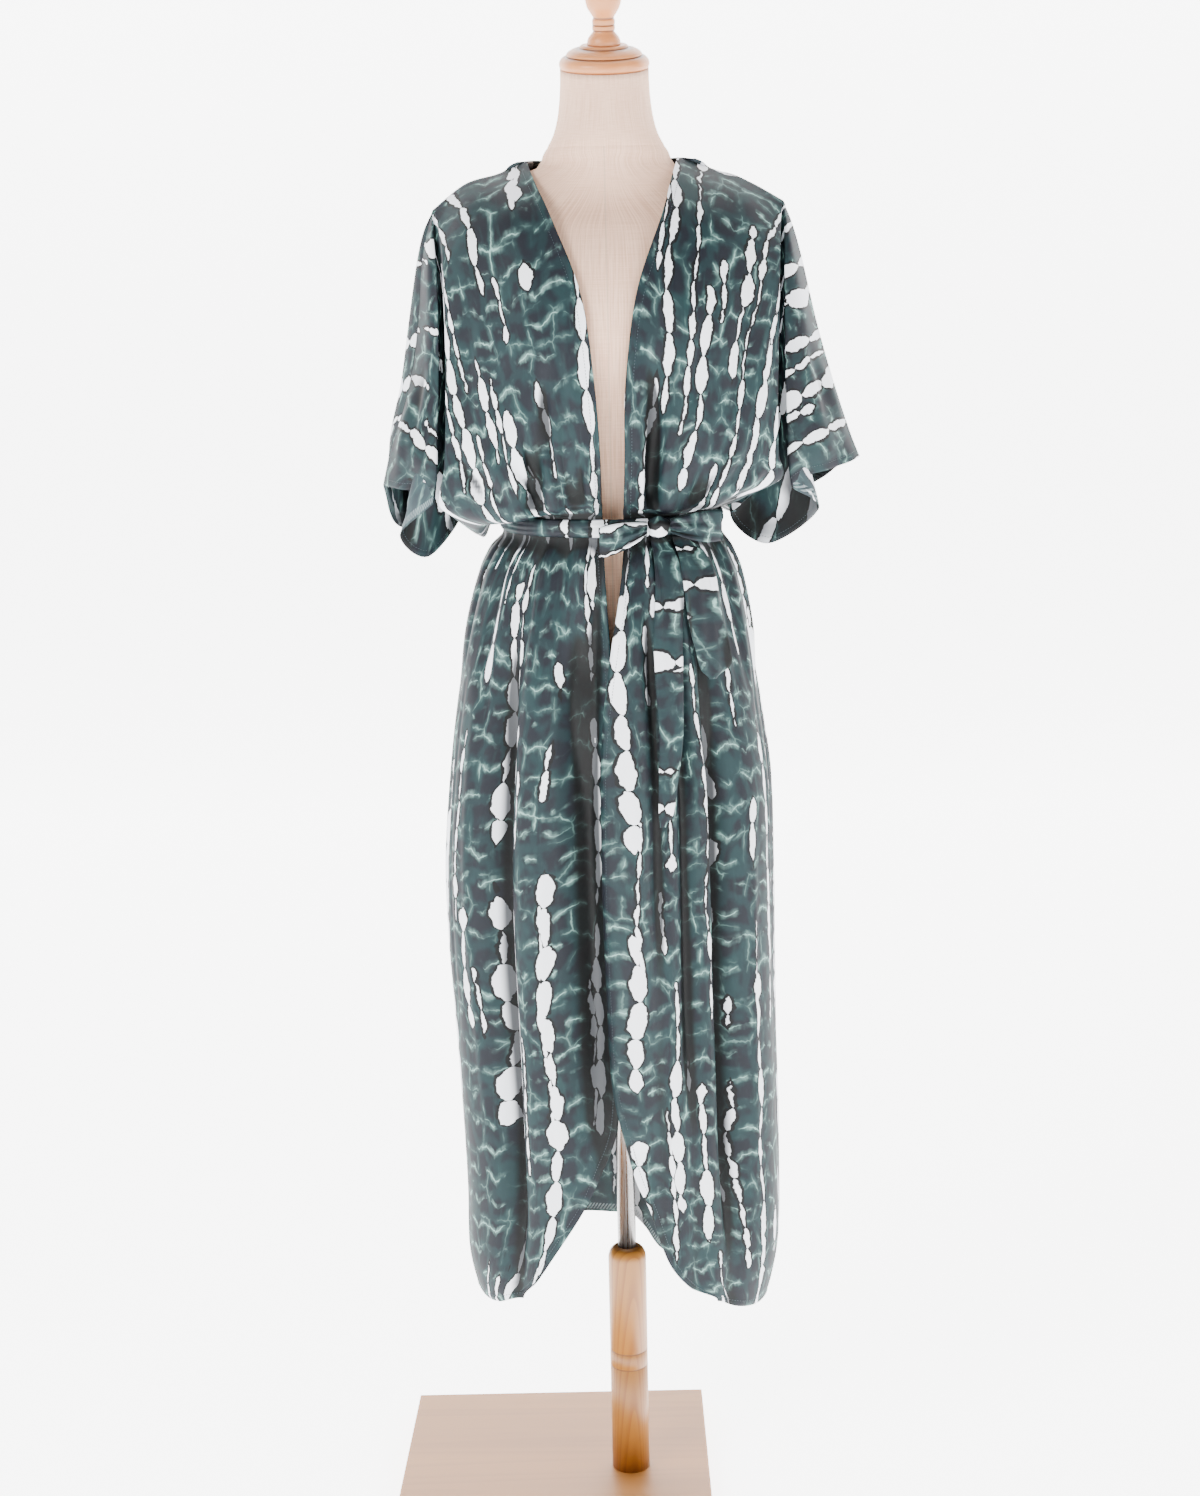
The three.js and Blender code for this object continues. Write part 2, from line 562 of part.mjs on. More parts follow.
// The back with both back halves of the sleeves.
function backPanel() {
  const levels = LEVEL_STEPS.length;
  const dropRow = LEVEL_STEPS.slice(0, DROP_LEVEL).reduce((sum, n) => sum + n, 0);
  const seamSide = SEAM_GAP / 2;
  const mirror = (guide) => guide.map(([x, y, z]) => [-x, y, z]);
  const withTip = (guide, tip) => [tip, ...guide.slice(1)];
  const tips = { right: RIGHT_FRONT.ridge[0], left: LEFT_FRONT.ridge[0] };
  const sheets = [];
  const seams = [];
  const body = across([
    withTip(mirror(BACK.ridge), tips.right), mirror(BACK.blade), mirror(BACK.yoke),
    mirror(BACK.neck), BACK.middle, BACK.neck, BACK.yoke, BACK.blade,
    withTip(BACK.ridge, tips.left),
  ], [...BACK_BODY_COLUMNS, ...[...BACK_BODY_COLUMNS].reverse()], 0, levels);
  const shaped = body.map((row) => row.map(([x, y, z]) => (
    clearOfForm([x, y + bodiceRelief(BACK_BODICE_FOLDS, x, z), z]))));
  shaped[0] = shaped[0].map(([x, y, z]) => (Math.abs(x) > NECK_HALF ? [x, seamSide, z] : [x, y, z]));
  seams.push(...shaped[0].filter(([x]) => Math.abs(x) > NECK_HALF));
  const columns = shaped[0].length - 1;
  // Skirt: even bearings from one side seam to the other, round the back.
  const total = columns + 2 * BACK_SIDE_COLUMNS;
  const skirt = [...SKIRT_HEIGHTS, null].map((height) => {
    const row = [];
    for (let j = 0; j <= total; j += 1) {
      const turned = -90 - 180 * j / total;
      const bearing = turned < -180 ? turned + 360 : turned;
      const z = height ?? read(HEM, bearing);
      const p = skirtPoint(bearing, z);
      const atSeam = j === 0 || j === total;
      row.push(atSeam ? [p[0], seamSide, p[2]] : p);
    }
    return row;
  });
  const beltRow = skirt[0].map(([x, y]) => [x, y, BELT_TOP]);
  skirt.unshift(beltRow);
  shaped[shaped.length - 1] = beltRow.slice(BACK_SIDE_COLUMNS, BACK_SIDE_COLUMNS + columns + 1);
  for (const half of [
    { flipped: true, ridgeAt: 0, fronts: RIGHT_FRONT, turn: BACK_TURN_RIGHT, cuff: BACK_CUFF.right,
      use: mirror, tip: tips.right },
    { flipped: false, ridgeAt: columns, fronts: LEFT_FRONT, turn: BACK_TURN_LEFT, cuff: BACK_CUFF.left,
      use: (guide) => guide, tip: tips.left },
  ]) {
    const ridge = shaped.map((row) => row[half.ridgeAt]);
    const underarm = half.fronts.side[DROP_LEVEL];
    const valley = withTip(half.use(BACK.valley), half.tip);
    valley[DROP_LEVEL] = underarm;
    const middle = withTip(half.use(BACK.sleeve), half.tip);
    middle[DROP_LEVEL] = half.cuff;
    const sleeve = across(
      [withTip(half.use(BACK.ridge), half.tip), valley, middle, half.turn, half.fronts.top],
      BACK_SLEEVE_COLUMNS, 0, DROP_LEVEL,
    ).map((row, i) => row.map((p, j) => {
      if (j === 0 || i === 0) return ridge[i];
      return j === row.length - 1 ? shift([p], seamSide)[0] : clearOfForm(p);
    }));
    const side = guideRows(half.fronts.side, DROP_LEVEL, levels);
    const under = ridge.slice(dropRow).map((from, i) => {
      const to = side[i];
      const row = [];
      for (let j = 0; j <= BACK_SIDE_COLUMNS; j += 1) {
        const t = j / BACK_SIDE_COLUMNS;
        const p = from.map((v, k) => v + (to[k] - v) * t);
        row.push(j === BACK_SIDE_COLUMNS ? shift([p], seamSide)[0] : p);
      }
      row[0] = from;
      return row;
    });
    const beltEnd = half.flipped ? beltRow.slice(0, BACK_SIDE_COLUMNS + 1).reverse()
      : beltRow.slice(-BACK_SIDE_COLUMNS - 1);
    under[under.length - 1] = beltEnd;
    under[0].forEach((p, j) => { sleeve[sleeve.length - 1][j] = p; });
    seams.push(...sleeve.map((row) => row[row.length - 1]), ...under.map((row) => row[row.length - 1]));
    sheets.push({ rows: sleeve, flip: !half.flipped }, { rows: under, flip: !half.flipped });
  }
  seams.push(...skirt.flatMap((row) => [row[0], row[row.length - 1]]));
  sheets.push({ rows: shaped, flip: true }, { rows: skirt, flip: true });
  return clothWall(sheets, seams);
}

// A tube of sections, closed by fans at both ends.
function loft(sections) {
  const count = sections[0].length;
  const points = sections.flat();
  const faces = [];
  for (let i = 0; i < sections.length - 1; i += 1) {
    for (let j = 0; j < count; j += 1) {
      const a = i * count + j;
      const b = i * count + (j + 1) % count;
      faces.push(a, b, b + count, a, b + count, a + count);
    }
  }
  const addCap = (ring, ends) => {
    const centre = ring.reduce((sum, p) => sum.map((v, k) => v + p[k] / count), [0, 0, 0]);
    const id = points.push(centre) - 1;
    const base = ends ? (sections.length - 1) * count : 0;
    for (let j = 0; j < count; j += 1) {
      const a = base + j;
      const b = base + (j + 1) % count;
      faces.push(...(ends ? [a, b, id] : [b, a, id]));
    }
  };
  addCap(sections[0], false);
  addCap(sections[sections.length - 1], true);
  const geometry = new THREE.BufferGeometry();
  geometry.setAttribute('position', new THREE.Float32BufferAttribute(points.flat(), 3));
  geometry.setIndex(faces);
  return geometry;
}

const FORM_SEGMENTS = 32;
const FORM_TOP = FORM[FORM.length - 1][0];
const TILT_FROM = 1425;      // from here up the neck leans over with the cap
const neckTilt = (y, z) => y * Math.tan(degrees(CAP_TILT)) * smooth(TILT_FROM, FORM_TOP, z);

function formTorso() {
  return loft(FORM.map(([z, wide, frontDepth, backDepth, round]) => {
    const ring = [];
    for (let j = 0; j < FORM_SEGMENTS; j += 1) {
      const angle = 2 * Math.PI * j / FORM_SEGMENTS;
      const [x, y] = superellipse(wide, frontDepth, backDepth, angle, round);
      ring.push([x, y, z + neckTilt(y, z)]);
    }
    return ring;
  }));
}

// The belt: a soft band round the waist, fuller in the middle of its width.
const BELT_SECTION = [[0, 0], [0.7, 0.1], [1, 0.5], [0.75, 0.9], [0, 1]];   // out, up
const BELT_SEGMENTS = 48;
const BELT_GAP = 0.7;        // from the waist's outline to the belt's inner face
const BELT_RISE = 2;         // from the waist's lower line to the belt

function belt() {
  const low = BELT_LOW + BELT_RISE;
  const rings = [];
  for (let i = 0; i <= BELT_SEGMENTS; i += 1) {
    const bearing = -180 + 360 * (i % BELT_SEGMENTS) / BELT_SEGMENTS;
    const [x, y] = skirtOutline(bearing, BELT_LOW);
    const length = Math.hypot(x, y);
    rings.push(BELT_SECTION.map(([out, up]) => {
      const reach = 1 + (BELT_GAP + out * BELT_THICK) / length;
      return [x * reach, y * reach, low + up * BELT_WIDTH];
    }));
  }
  rings.pop();
  const count = BELT_SECTION.length;
  const points = rings.flat();
  const faces = [];
  for (let i = 0; i < BELT_SEGMENTS; i += 1) {
    const next = (i + 1) % BELT_SEGMENTS;
    for (let j = 0; j < count; j += 1) {
      const k = (j + 1) % count;
      const [a, b] = [i * count + j, i * count + k];
      const [c, d] = [next * count + k, next * count + j];
      faces.push(a, d, c, a, c, b);
    }
  }
  const geometry = new THREE.BufferGeometry();
  geometry.setAttribute('position', new THREE.Float32BufferAttribute(points.flat(), 3));
  geometry.setIndex(faces);
  return geometry;
}

// Bow: each loop is a ribbon that goes out over the front, turns at its tip and comes back behind.
// knot end and tip: x, y, z of the ribbon's middle; widths at the two; swell of the front run.
const LOOPS = {
  bow_loop_right: { from: [31, -108, 1047], tip: [-14, -114, 1035], widths: [12, 29], swell: 13 },
  bow_loop_left: { from: [53, -108, 1049], tip: [102, -97, 1047], widths: [12, 30], swell: 13 },
};
const LOOP_STEPS = 7;
const LOOP_GAP = 6;          // between the front run and the back run
const LOOP_TURN = 0.8;       // how tightly a loop turns at its tip; 1 is a round turn
const LOOP_FULL = 0.62;      // where along a loop it is widest, as a share of a half wave
const LOOP_SWELL = [0.6, Math.PI / 2];   // start and span of the wave by which the front run swells

function bowLoop({ from, tip, widths, swell }) {
  const rows = [];
  const runs = 2 * LOOP_STEPS + 2;
  for (let i = 0; i <= runs; i += 1) {
    const turn = Math.PI * i / runs;
    const along = Math.abs(Math.sin(turn)) ** LOOP_TURN;
    const isFront = Math.cos(turn);
    const mid = from.map((v, k) => v + (tip[k] - v) * along);
    const width = widths[0] + (widths[1] - widths[0]) * Math.sin(Math.PI * Math.min(1, along * LOOP_FULL));
    const lift = Math.sin(LOOP_SWELL[0] + along * LOOP_SWELL[1]);
    const y = mid[1] - (isFront > 0 ? swell : LOOP_GAP) * isFront * lift;
    rows.push([-0.5, 0, 0.5].map((part) => [mid[0], y, mid[2] + part * width]));
  }
  return rows;
}

// Tails of the belt: rows of height, left x and right x, hanging on the skirt.
const TAIL_LONG = [
  [1038, 33, 48], [1015, 35, 57], [985, 35, 61], [940, 34, 61], [888, 36, 61], [850, 38, 60],
  [815, 37, 56], [775, 36, 50], [762, 37, 43],
];
const TAIL_SHORT = [
  [1038, 53, 66], [1022, 57, 80], [1000, 60, 90], [962, 65, 97], [930, 73, 103], [910, 78, 104],
  [901, 86, 92],
];
const TAIL_COLUMNS = 4;
const TAIL_LIFT = 3.2;       // off the skirt's own surface

function beltTail(table) {
  const rows = table.map(([z, left, right]) => {
    const row = [];
    for (let j = 0; j <= TAIL_COLUMNS; j += 1) {
      const x = left + (right - left) * j / TAIL_COLUMNS;
      const bearing = bearingOf(x, z);
      const relief = Math.max(0, -skirtRelief(bearing, z));
      row.push(skirtPoint(bearing, z, relief + TAIL_LIFT + lapLift(x, z)));
    }
    return row;
  });
  return clothWall([{ rows, flip: false }], []);
}

// Wood and steel: segments round each turned piece.
const CAP_SEGMENTS = 28;
const FINIAL_SEGMENTS = 18;
const POLE_SEGMENTS = 24;

function lathe(profile, segments) {
  const geometry = new THREE.LatheGeometry(profile.map(([r, z]) => new THREE.Vector2(r, z)), segments);
  geometry.rotateX(Math.PI / 2);
  return geometry;
}

function basePlate() {
  const inset = ([x, y]) => [x - Math.sign(x) * BASE_EDGE, y - Math.sign(y) * BASE_EDGE];
  const corners = BASE_CORNERS.map((corner) => new THREE.Vector2(...inset(corner)));
  const geometry = new THREE.ExtrudeGeometry(new THREE.Shape(corners), {
    depth: BASE_THICK - 2 * BASE_EDGE,
    bevelThickness: BASE_EDGE,
    bevelSize: BASE_EDGE,
    bevelSegments: 2,
  });
  geometry.translate(0, 0, BASE_EDGE);
  return geometry;
}

// The dowel: straight, with two ring grooves and a domed shoulder round the pole.
function dowelProfile() {
  const { radius, top, shoulder, drawnIn, grooves, grooveDepth, grooveHalf } = DOWEL;
  const profile = [[0, BASE_THICK], [radius, BASE_THICK]];
  for (const z of grooves) {
    profile.push([radius, z - grooveHalf], [radius - grooveDepth, z], [radius, z + grooveHalf]);
  }
  for (let k = 0; k <= SHOULDER_STEPS; k += 1) {
    const turn = k / SHOULDER_STEPS * SHOULDER_TURN;
    const inward = drawnIn * shoulder * (1 - Math.cos(turn));
    profile.push([radius - inward, top - shoulder + shoulder * Math.sin(turn)]);
  }
  profile.push([0, top]);
  return profile;
}

// Cap and finial: radius and height over the neck's top.
const CAP_PROFILE = [
  [0, 0.3], [40.5, 0.3], [42, 1.6], [42.8, 4.5], [42, 8], [39, 11.2], [35.2, 12.2], [36, 13.5], [34, 16],
  [29, 18.6], [23.4, 19.5], [23.2, 20.6], [21.5, 22], [0, 22],
];
const FINIAL_PROFILE = [
  [0, 22.3], [15.8, 22.3], [15.7, 25.3], [14.8, 28], [13.2, 30.4], [10.6, 33.4], [9.9, 35], [10.7, 36],
  [10.7, 39.2], [9.9, 40], [10.7, 40.8], [10.7, 44.6], [9.9, 45.6], [9.9, 47], [12.9, 51.7], [15.3, 55.8],
  [16.8, 61], [17.5, 66.5], [17.6, 72], [17, 79], [14.5, 86], [10, 91.5], [5, 94.3], [0, 94.8],
];

const dress = new THREE.Group();
const cloth = (colour) => new THREE.MeshStandardMaterial({ color: colour, roughness: 0.75 });
const wood = (colour) => new THREE.MeshStandardMaterial({ color: colour, roughness: 0.45 });
const CLOTH_TEAL = '#3a5a60';
const CLOTH_DARK = '#2f4850';
const LINEN = '#e3d0bd';
const PINE = '#d9ab7a';
const OAK = '#c98f52';
const STEEL = '#9a9794';

function place(name, geometry, material, parent = dress) {
  const mesh = new THREE.Mesh(geometry, material);
  mesh.name = name;
  parent.add(mesh);
  return mesh;
}

place('front_right', frontPanel(RIGHT_FRONT, EDGE_RIGHT_FRONT, -1), cloth(CLOTH_TEAL));
place('front_left', frontPanel(LEFT_FRONT, EDGE_LEFT_FRONT, 1), cloth(CLOTH_TEAL));
place('back', backPanel(), cloth(CLOTH_DARK));
place('belt_band', belt(), cloth(CLOTH_TEAL));
const KNOT = { at: [42, -105.6, 1048], radii: [10.5, 7, 10], segments: [16, 10] };
const knot = new THREE.SphereGeometry(1, ...KNOT.segments);
knot.scale(...KNOT.radii);
knot.translate(...KNOT.at);
place('belt_knot', knot, cloth(CLOTH_DARK));
for (const [name, values] of Object.entries(LOOPS)) {
  place(name, clothWall([{ rows: bowLoop(values), flip: values.tip[0] < values.from[0] }], []),
    cloth(CLOTH_TEAL));
}
place('belt_tail_long', beltTail(TAIL_LONG), cloth(CLOTH_TEAL));
place('belt_tail_short', beltTail(TAIL_SHORT), cloth(CLOTH_TEAL));

place('form_torso', formTorso(), cloth(LINEN));
const head = new THREE.Group();
head.position.z = FORM_TOP;
head.rotation.x = degrees(CAP_TILT);
dress.add(head);
place('neck_cap', lathe(CAP_PROFILE, CAP_SEGMENTS), wood(OAK), head);
place('finial', lathe(FINIAL_PROFILE, FINIAL_SEGMENTS), wood(OAK), head);
const steel = new THREE.MeshStandardMaterial({ color: STEEL, metalness: 1, roughness: 0.3 });
const poleProfile = [[0, DOWEL.top], [POLE_RADIUS, DOWEL.top], [POLE_RADIUS, FORM_BOTTOM], [0, FORM_BOTTOM]];
place('pole', lathe(poleProfile, POLE_SEGMENTS), steel);
place('dowel', lathe(dowelProfile(), POLE_SEGMENTS), wood(OAK));
place('base_plate', basePlate(), wood(PINE));

export default dress;
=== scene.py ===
# %% [markdown]
# # A kimono dress on a dress form
# The dress is two fronts and a back of thin printed viscose, cut with the sleeves in one, held at the
# waist by a narrow belt. It is worn by a padded form on a steel pole and a wooden stand. The packed
# model gives every piece its place; this script gives each of them its finish.

# %% Load the frame
import math

import bmesh
import bpy
import numpy as np
from mathutils import Matrix, Vector


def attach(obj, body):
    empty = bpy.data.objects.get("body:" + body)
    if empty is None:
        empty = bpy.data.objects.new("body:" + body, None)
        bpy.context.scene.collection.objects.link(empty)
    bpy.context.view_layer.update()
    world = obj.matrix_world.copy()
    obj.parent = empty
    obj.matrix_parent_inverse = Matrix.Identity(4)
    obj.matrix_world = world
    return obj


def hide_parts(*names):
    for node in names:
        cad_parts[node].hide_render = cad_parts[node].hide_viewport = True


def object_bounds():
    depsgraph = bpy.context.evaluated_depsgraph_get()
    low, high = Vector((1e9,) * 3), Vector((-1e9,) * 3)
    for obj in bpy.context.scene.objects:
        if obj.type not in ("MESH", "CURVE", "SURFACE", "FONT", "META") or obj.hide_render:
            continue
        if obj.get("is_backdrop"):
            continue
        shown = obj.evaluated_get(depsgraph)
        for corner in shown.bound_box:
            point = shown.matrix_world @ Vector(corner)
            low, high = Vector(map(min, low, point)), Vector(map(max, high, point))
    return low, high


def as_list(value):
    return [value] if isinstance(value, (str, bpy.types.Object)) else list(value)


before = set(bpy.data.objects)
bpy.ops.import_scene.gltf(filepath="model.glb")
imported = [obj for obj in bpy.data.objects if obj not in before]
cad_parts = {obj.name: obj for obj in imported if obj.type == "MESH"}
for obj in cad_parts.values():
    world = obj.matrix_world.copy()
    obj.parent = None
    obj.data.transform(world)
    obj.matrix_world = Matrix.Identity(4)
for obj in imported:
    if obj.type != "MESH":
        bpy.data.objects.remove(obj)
MM = 0.001
cad_box = [list(corner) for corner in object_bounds()]
print("CAD box", [[round(v, 3) for v in corner] for corner in cad_box])

# %% [markdown]
# ## Helpers for colours and nodes
# A colour picked on a screen is sRGB, and the shaders work in linear light, so each hex value is
# turned once, here. Every node is added by one function, which also sets its values and links.

# %% Colours and nodes
def colour(hex_value):
    """An sRGB hex colour as linear RGBA."""
    parts = [int(hex_value[i:i + 2], 16) / 255 for i in (1, 3, 5)]
    return [c / 12.92 if c <= 0.04045 else ((c + 0.055) / 1.055) ** 2.4 for c in parts] + [1.0]


def add(tree, kind, values=(), out=0, **settings):
    """Adds a node, sets its inputs (by place or name) to values or links, and returns one output."""
    node = tree.nodes.new(kind)
    for key, value in settings.items():
        setattr(node, key, value)
    pairs = values.items() if isinstance(values, dict) else enumerate(values)
    for key, value in pairs:
        if isinstance(value, bpy.types.NodeSocket):
            tree.links.new(value, node.inputs[key])
        elif value is not None:
            node.inputs[key].default_value = value
    return node.outputs[out]


def new_material(name, **shader):
    """A material with a Principled shader, whose constants are set on its own sockets."""
    material = bpy.data.materials.new(name)
    material.use_nodes = True
    tree = material.node_tree
    bsdf = tree.nodes["Principled BSDF"]
    for key, value in shader.items():
        bsdf.inputs[key.replace("_", " ")].default_value = value
    return material, tree, bsdf


def placed(name, data):
    """A new object in the scene that shows the data."""
    item = bpy.data.objects.new(name, data)
    bpy.context.scene.collection.objects.link(item)
    return item


print("colour check", [round(c, 3) for c in colour("#808080")[:3]])

# %% [markdown]
# ## Camera, light and floor
# The photo looks down at the form by about 12 degrees from a little to its left, through a lens of
# normal length. A white sweep behind and soft light from both sides leave the folds to make the shade,
# and painted shade in the cloth's colour darkens them further.

# %% Camera
PITCH = math.radians(12.45)
ROLL = math.radians(1.2)
EYE = (-17.5 * MM, -2261 * MM, 1312 * MM)
FOCUS, PHOTO_HEIGHT = 2300, 1496        # focal length and taller side, both in photo pixels
eye = bpy.data.cameras.new("camera")
eye.sensor_width = 36
eye.lens = FOCUS / PHOTO_HEIGHT * eye.sensor_width
eye.clip_end = 50
camera = placed("camera", eye)
camera.matrix_world = (Matrix.Translation(EYE) @ Matrix.Rotation(math.pi / 2 - PITCH, 4, "X")
                       @ Matrix.Rotation(-ROLL, 4, "Z"))
bpy.context.scene.camera = camera
print("camera lens", round(eye.lens, 2))

# %% Lights and world
def soft_box(name, place, aim, size, power):
    """A square white area light that looks at a point."""
    lamp = bpy.data.lights.new(name, "AREA")
    lamp.shape = "SQUARE"
    lamp.size = size
    lamp.energy = power
    holder = placed(name, lamp)
    holder.location = place
    holder.rotation_euler = (Vector(aim) - Vector(place)).to_track_quat("-Z", "Y").to_euler()


soft_box("key_light", (-2.0, -2.0, 2.6), (0, 0, 0.9), 0.9, 95)
soft_box("fill_light", (2.3, -1.5, 1.7), (0, 0, 0.8), 1.2, 34)
soft_box("top_light", (0.2, 0.1, 3.4), (0, 0, 1.0), 1.2, 26)
world = bpy.data.worlds.new("studio")
bpy.context.scene.world = world
world.use_nodes = True
sky = world.node_tree.nodes["Background"].inputs
sky["Color"].default_value = colour("#ffffff")
sky["Strength"].default_value = 0.3

# %% Floor
PAPER_FRONT, PAPER_BACK, PAPER_SIDE, PAPER_TOP = -12, 3, 14, 9      # metres
PAPER_BEND = 2                          # radius of the bend from floor to wall


def paper_sweep():
    """A floor that curves up into a wall far behind the part."""
    profile = [(PAPER_FRONT, 0), (PAPER_BACK, 0)]
    profile += [(PAPER_BACK + PAPER_BEND * math.sin(a), PAPER_BEND - PAPER_BEND * math.cos(a))
                for a in np.linspace(0.1, math.pi / 2, 14)]
    profile += [(PAPER_BACK + PAPER_BEND, PAPER_TOP)]
    points = [(x, y, z) for y, z in profile for x in (-PAPER_SIDE, PAPER_SIDE)]
    faces = [(2 * i, 2 * i + 1, 2 * i + 3, 2 * i + 2) for i in range(len(profile) - 1)]
    mesh = bpy.data.meshes.new("paper_sweep")
    mesh.from_pydata(points, [], faces)
    mesh.shade_smooth()
    return placed("paper_sweep", mesh)


# Seamless white paper. A studio lights it with lamps of its own; here the paper glows instead
paper, _, paper_shader = new_material("matt white paper", Roughness=0.9, Emission_Strength=5.0)
paper_shader.inputs["Base Color"].default_value = colour("#fafafa")
paper_shader.inputs["Emission Color"].default_value = colour("#ffffff")
floor = paper_sweep()
floor.data.materials.append(paper)
floor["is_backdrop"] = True
print("floor", floor.name)

# %% [markdown]
# ## The shape of the cloth
# The solids of the dress come from short tables: the outline of the skirt at each height, its folds by
# bearing round the body, and guide lines down the bodice and the sleeves. The same tables are read
# here, in millimetres, with more rows and columns between them, so that the shell lies on its solid.

# %% Reading tables and easing
def read(table, key, column=1):
    """A value read from a table by its first column, eased between the rows."""
    rows = np.array([[row[0], row[column]] for row in table], float)
    if rows[0, 0] > rows[-1, 0]:
        rows = rows[::-1]
    at, value = rows.T
    i = np.clip(np.searchsorted(at, key, side="right") - 1, 0, len(at) - 2)
    span = at[i + 1] - at[i]
    t = np.clip((key - at[i]) / span, 0, 1)
    slope = np.zeros(len(at))
    slope[1:-1] = (value[2:] - value[:-2]) / (at[2:] - at[:-2])
    return (value[i] * (2 * t ** 3 - 3 * t ** 2 + 1) + value[i + 1] * (3 * t ** 2 - 2 * t ** 3)
            + span * (slope[i] * (t ** 3 - 2 * t ** 2 + t) + slope[i + 1] * (t ** 3 - t ** 2)))


def smooth(start, stop, value):
    """0 before start, 1 past stop, eased between."""
    t = np.clip((value - start) / (stop - start), 0, 1)
    return t * t * (3 - 2 * t)


def bell(offset, half):
    """1 in the middle, falling off on both sides over about half."""
    return np.exp(-(offset / half) ** 2)


def along(points, steps):
    """A smooth line of points through the given ones, with steps[i] stretches after the i-th."""
    points = np.asarray(points, float)
    last = len(points) - 1
    line = []
    for i, count in enumerate(steps):
        a, b, c, d = (points[min(last, max(0, k))] for k in (i - 1, i, i + 1, i + 2))
        for t in np.arange(count) / count:
            line.append(0.5 * (2 * b + (c - a) * t + (2 * a - 5 * b + 4 * c - d) * t ** 2
                               + (3 * b - a - 3 * c + d) * t ** 3))
    line.append(points[-1])
    return np.array(line)


print("half way up a step", float(smooth(0, 2, 1.0)))

# %% Tables of the form and the skirt, in millimetres
# height, half width, front depth, back depth, roundness
FORM = [
    [780, 130, 94, 96, 2.3],
    [870, 136, 103, 107, 2.3],
    [950, 124, 95, 97, 2.3],
    [1050, 97, 80, 74, 2.3],
    [1110, 111, 86, 76, 2.3],
    [1180, 128, 99, 80, 2.3],
    [1235, 137, 106, 84, 2.3],
    [1290, 152, 92, 84, 2.25],
    [1325, 160, 68, 66, 2.05],
    [1339, 160, 52, 54, 1.75],
    [1347, 153, 46, 48, 1.6],
    [1354, 143, 43, 45, 1.5],
    [1363, 122, 42, 44, 1.45],
    [1371, 95, 42, 42, 1.45],
    [1380, 66.5, 43, 41, 1.6],
    [1386, 62, 43, 40.5, 1.62],
    [1392, 60, 45, 43.5, 1.85],
    [1410, 49.8, 47, 48, 2.1],
    [1435, 44, 45, 45, 2],
    [1470, 42, 43, 43, 2],
]

# height, half width at the viewer's left, half width at the right, front depth, back depth
SKIRT = [
    [1036, 108, 105, 100, 88],
    [1017, 120, 113, 108, 95],
    [995, 131, 122, 114, 103],
    [945, 145, 132, 121, 113],
    [857, 162, 144, 126, 121],
    [790, 171.5, 153, 127, 121],
    [709, 178.5, 155.5, 126, 119],
    [624, 178, 156.5, 123, 116],
    [556, 174.5, 157.5, 121, 114],
    [462, 170, 160, 119, 112],
    [357, 166.5, 162, 117, 110],
    [290, 167, 161, 114, 108],
    [250, 160, 154, 110, 106],
    [235, 154, 150, 108, 104],
]

# height, x of the front edge
EDGE_RIGHT_FRONT = [
    [1036, -10.5], [934, -6], [840, -1], [690, 1], [588, -2], [500, -5], [443, -10],
    [400, -27], [360, -46], [315, -72], [280, -93], [256, -112],
]

EDGE_LEFT_FRONT = [
    [1036, 9], [1000, 6], [934, -5], [839, -17], [690, -20], [588, -18], [500, -14], [438, -1],
    [394, 10], [366, 22], [320, 36], [295, 47], [272, 66], [254, 92],
]

# the heights of the solid's rows
SKIRT_HEIGHTS = [
    1036, 1019, 998, 965, 920, 865, 790, 705, 620, 530,
    455, 422, 392, 364, 338, 314, 292, 273,
]

# bearing from the front's middle in degrees, height of the hem
HEM = [
    [-180, 265], [-165, 268], [-135, 260], [-110, 251], [-90, 245], [-72, 243], [-55, 246],
    [-42, 256], [32, 254], [45, 241], [58, 235], [75, 235], [90, 235], [110, 227], [135, 218],
    [158, 215], [167, 226], [174, 250], [180, 265],
]

# bearing at the belt and at the hem, half width (degrees), depth, heights at which the fold begins, is
# full and fades
SKIRT_FOLDS = [
    (-62, -62, 13, 5, 1000, 850, 200),
    (-40, -42, 5, -16, 970, 820, 240),
    (-27, -27, 8, 6, 1010, 860, 330),
    (-13, -7, 7, -20, 1010, 860, 400),
    (4, 6, 6, 4, 980, 800, 500),
    (12, 12, 3.6, -8, 1000, 900, 560),
    (23, 24, 4, -12, 1000, 850, 420),
    (38, 40, 5, -17, 1010, 850, 280),
    (60, 58, 14, 6, 1000, 850, 200),
    (82, 84, 7, -6, 960, 800, 300),
    (-84, -86, 6, -6, 960, 800, 320),
    (108, 106, 10, 6, 1000, 850, 260),
    (128, 126, 6, -15, 1000, 840, 280),
    (150, 147, 11, 6, 990, 820, 240),
    (171, 168, 6, -14, 1010, 860, 330),
    (-168, -164, 10, 5, 990, 830, 260),
    (-146, -148, 6.5, -16, 1000, 850, 250),
    (-124, -120, 11, 6, 980, 820, 300),
    (-104, -103, 6, -12, 990, 850, 380),
]

# x at the fold's top and at the belt, height of its top, half width, depth
BODICE_FOLDS = [
    (-62, -80, 1200, 9, -14),
    (-118, -60, 1140, 8, -8),
    (-88, -70, 1170, 9, 4),
    (-36, -32, 1150, 7, -5),
    (40, 36, 1220, 8, -12),
    (66, 52, 1180, 8, 4),
    (98, 66, 1150, 9, -8),
    (126, 80, 1130, 9, 4),
]

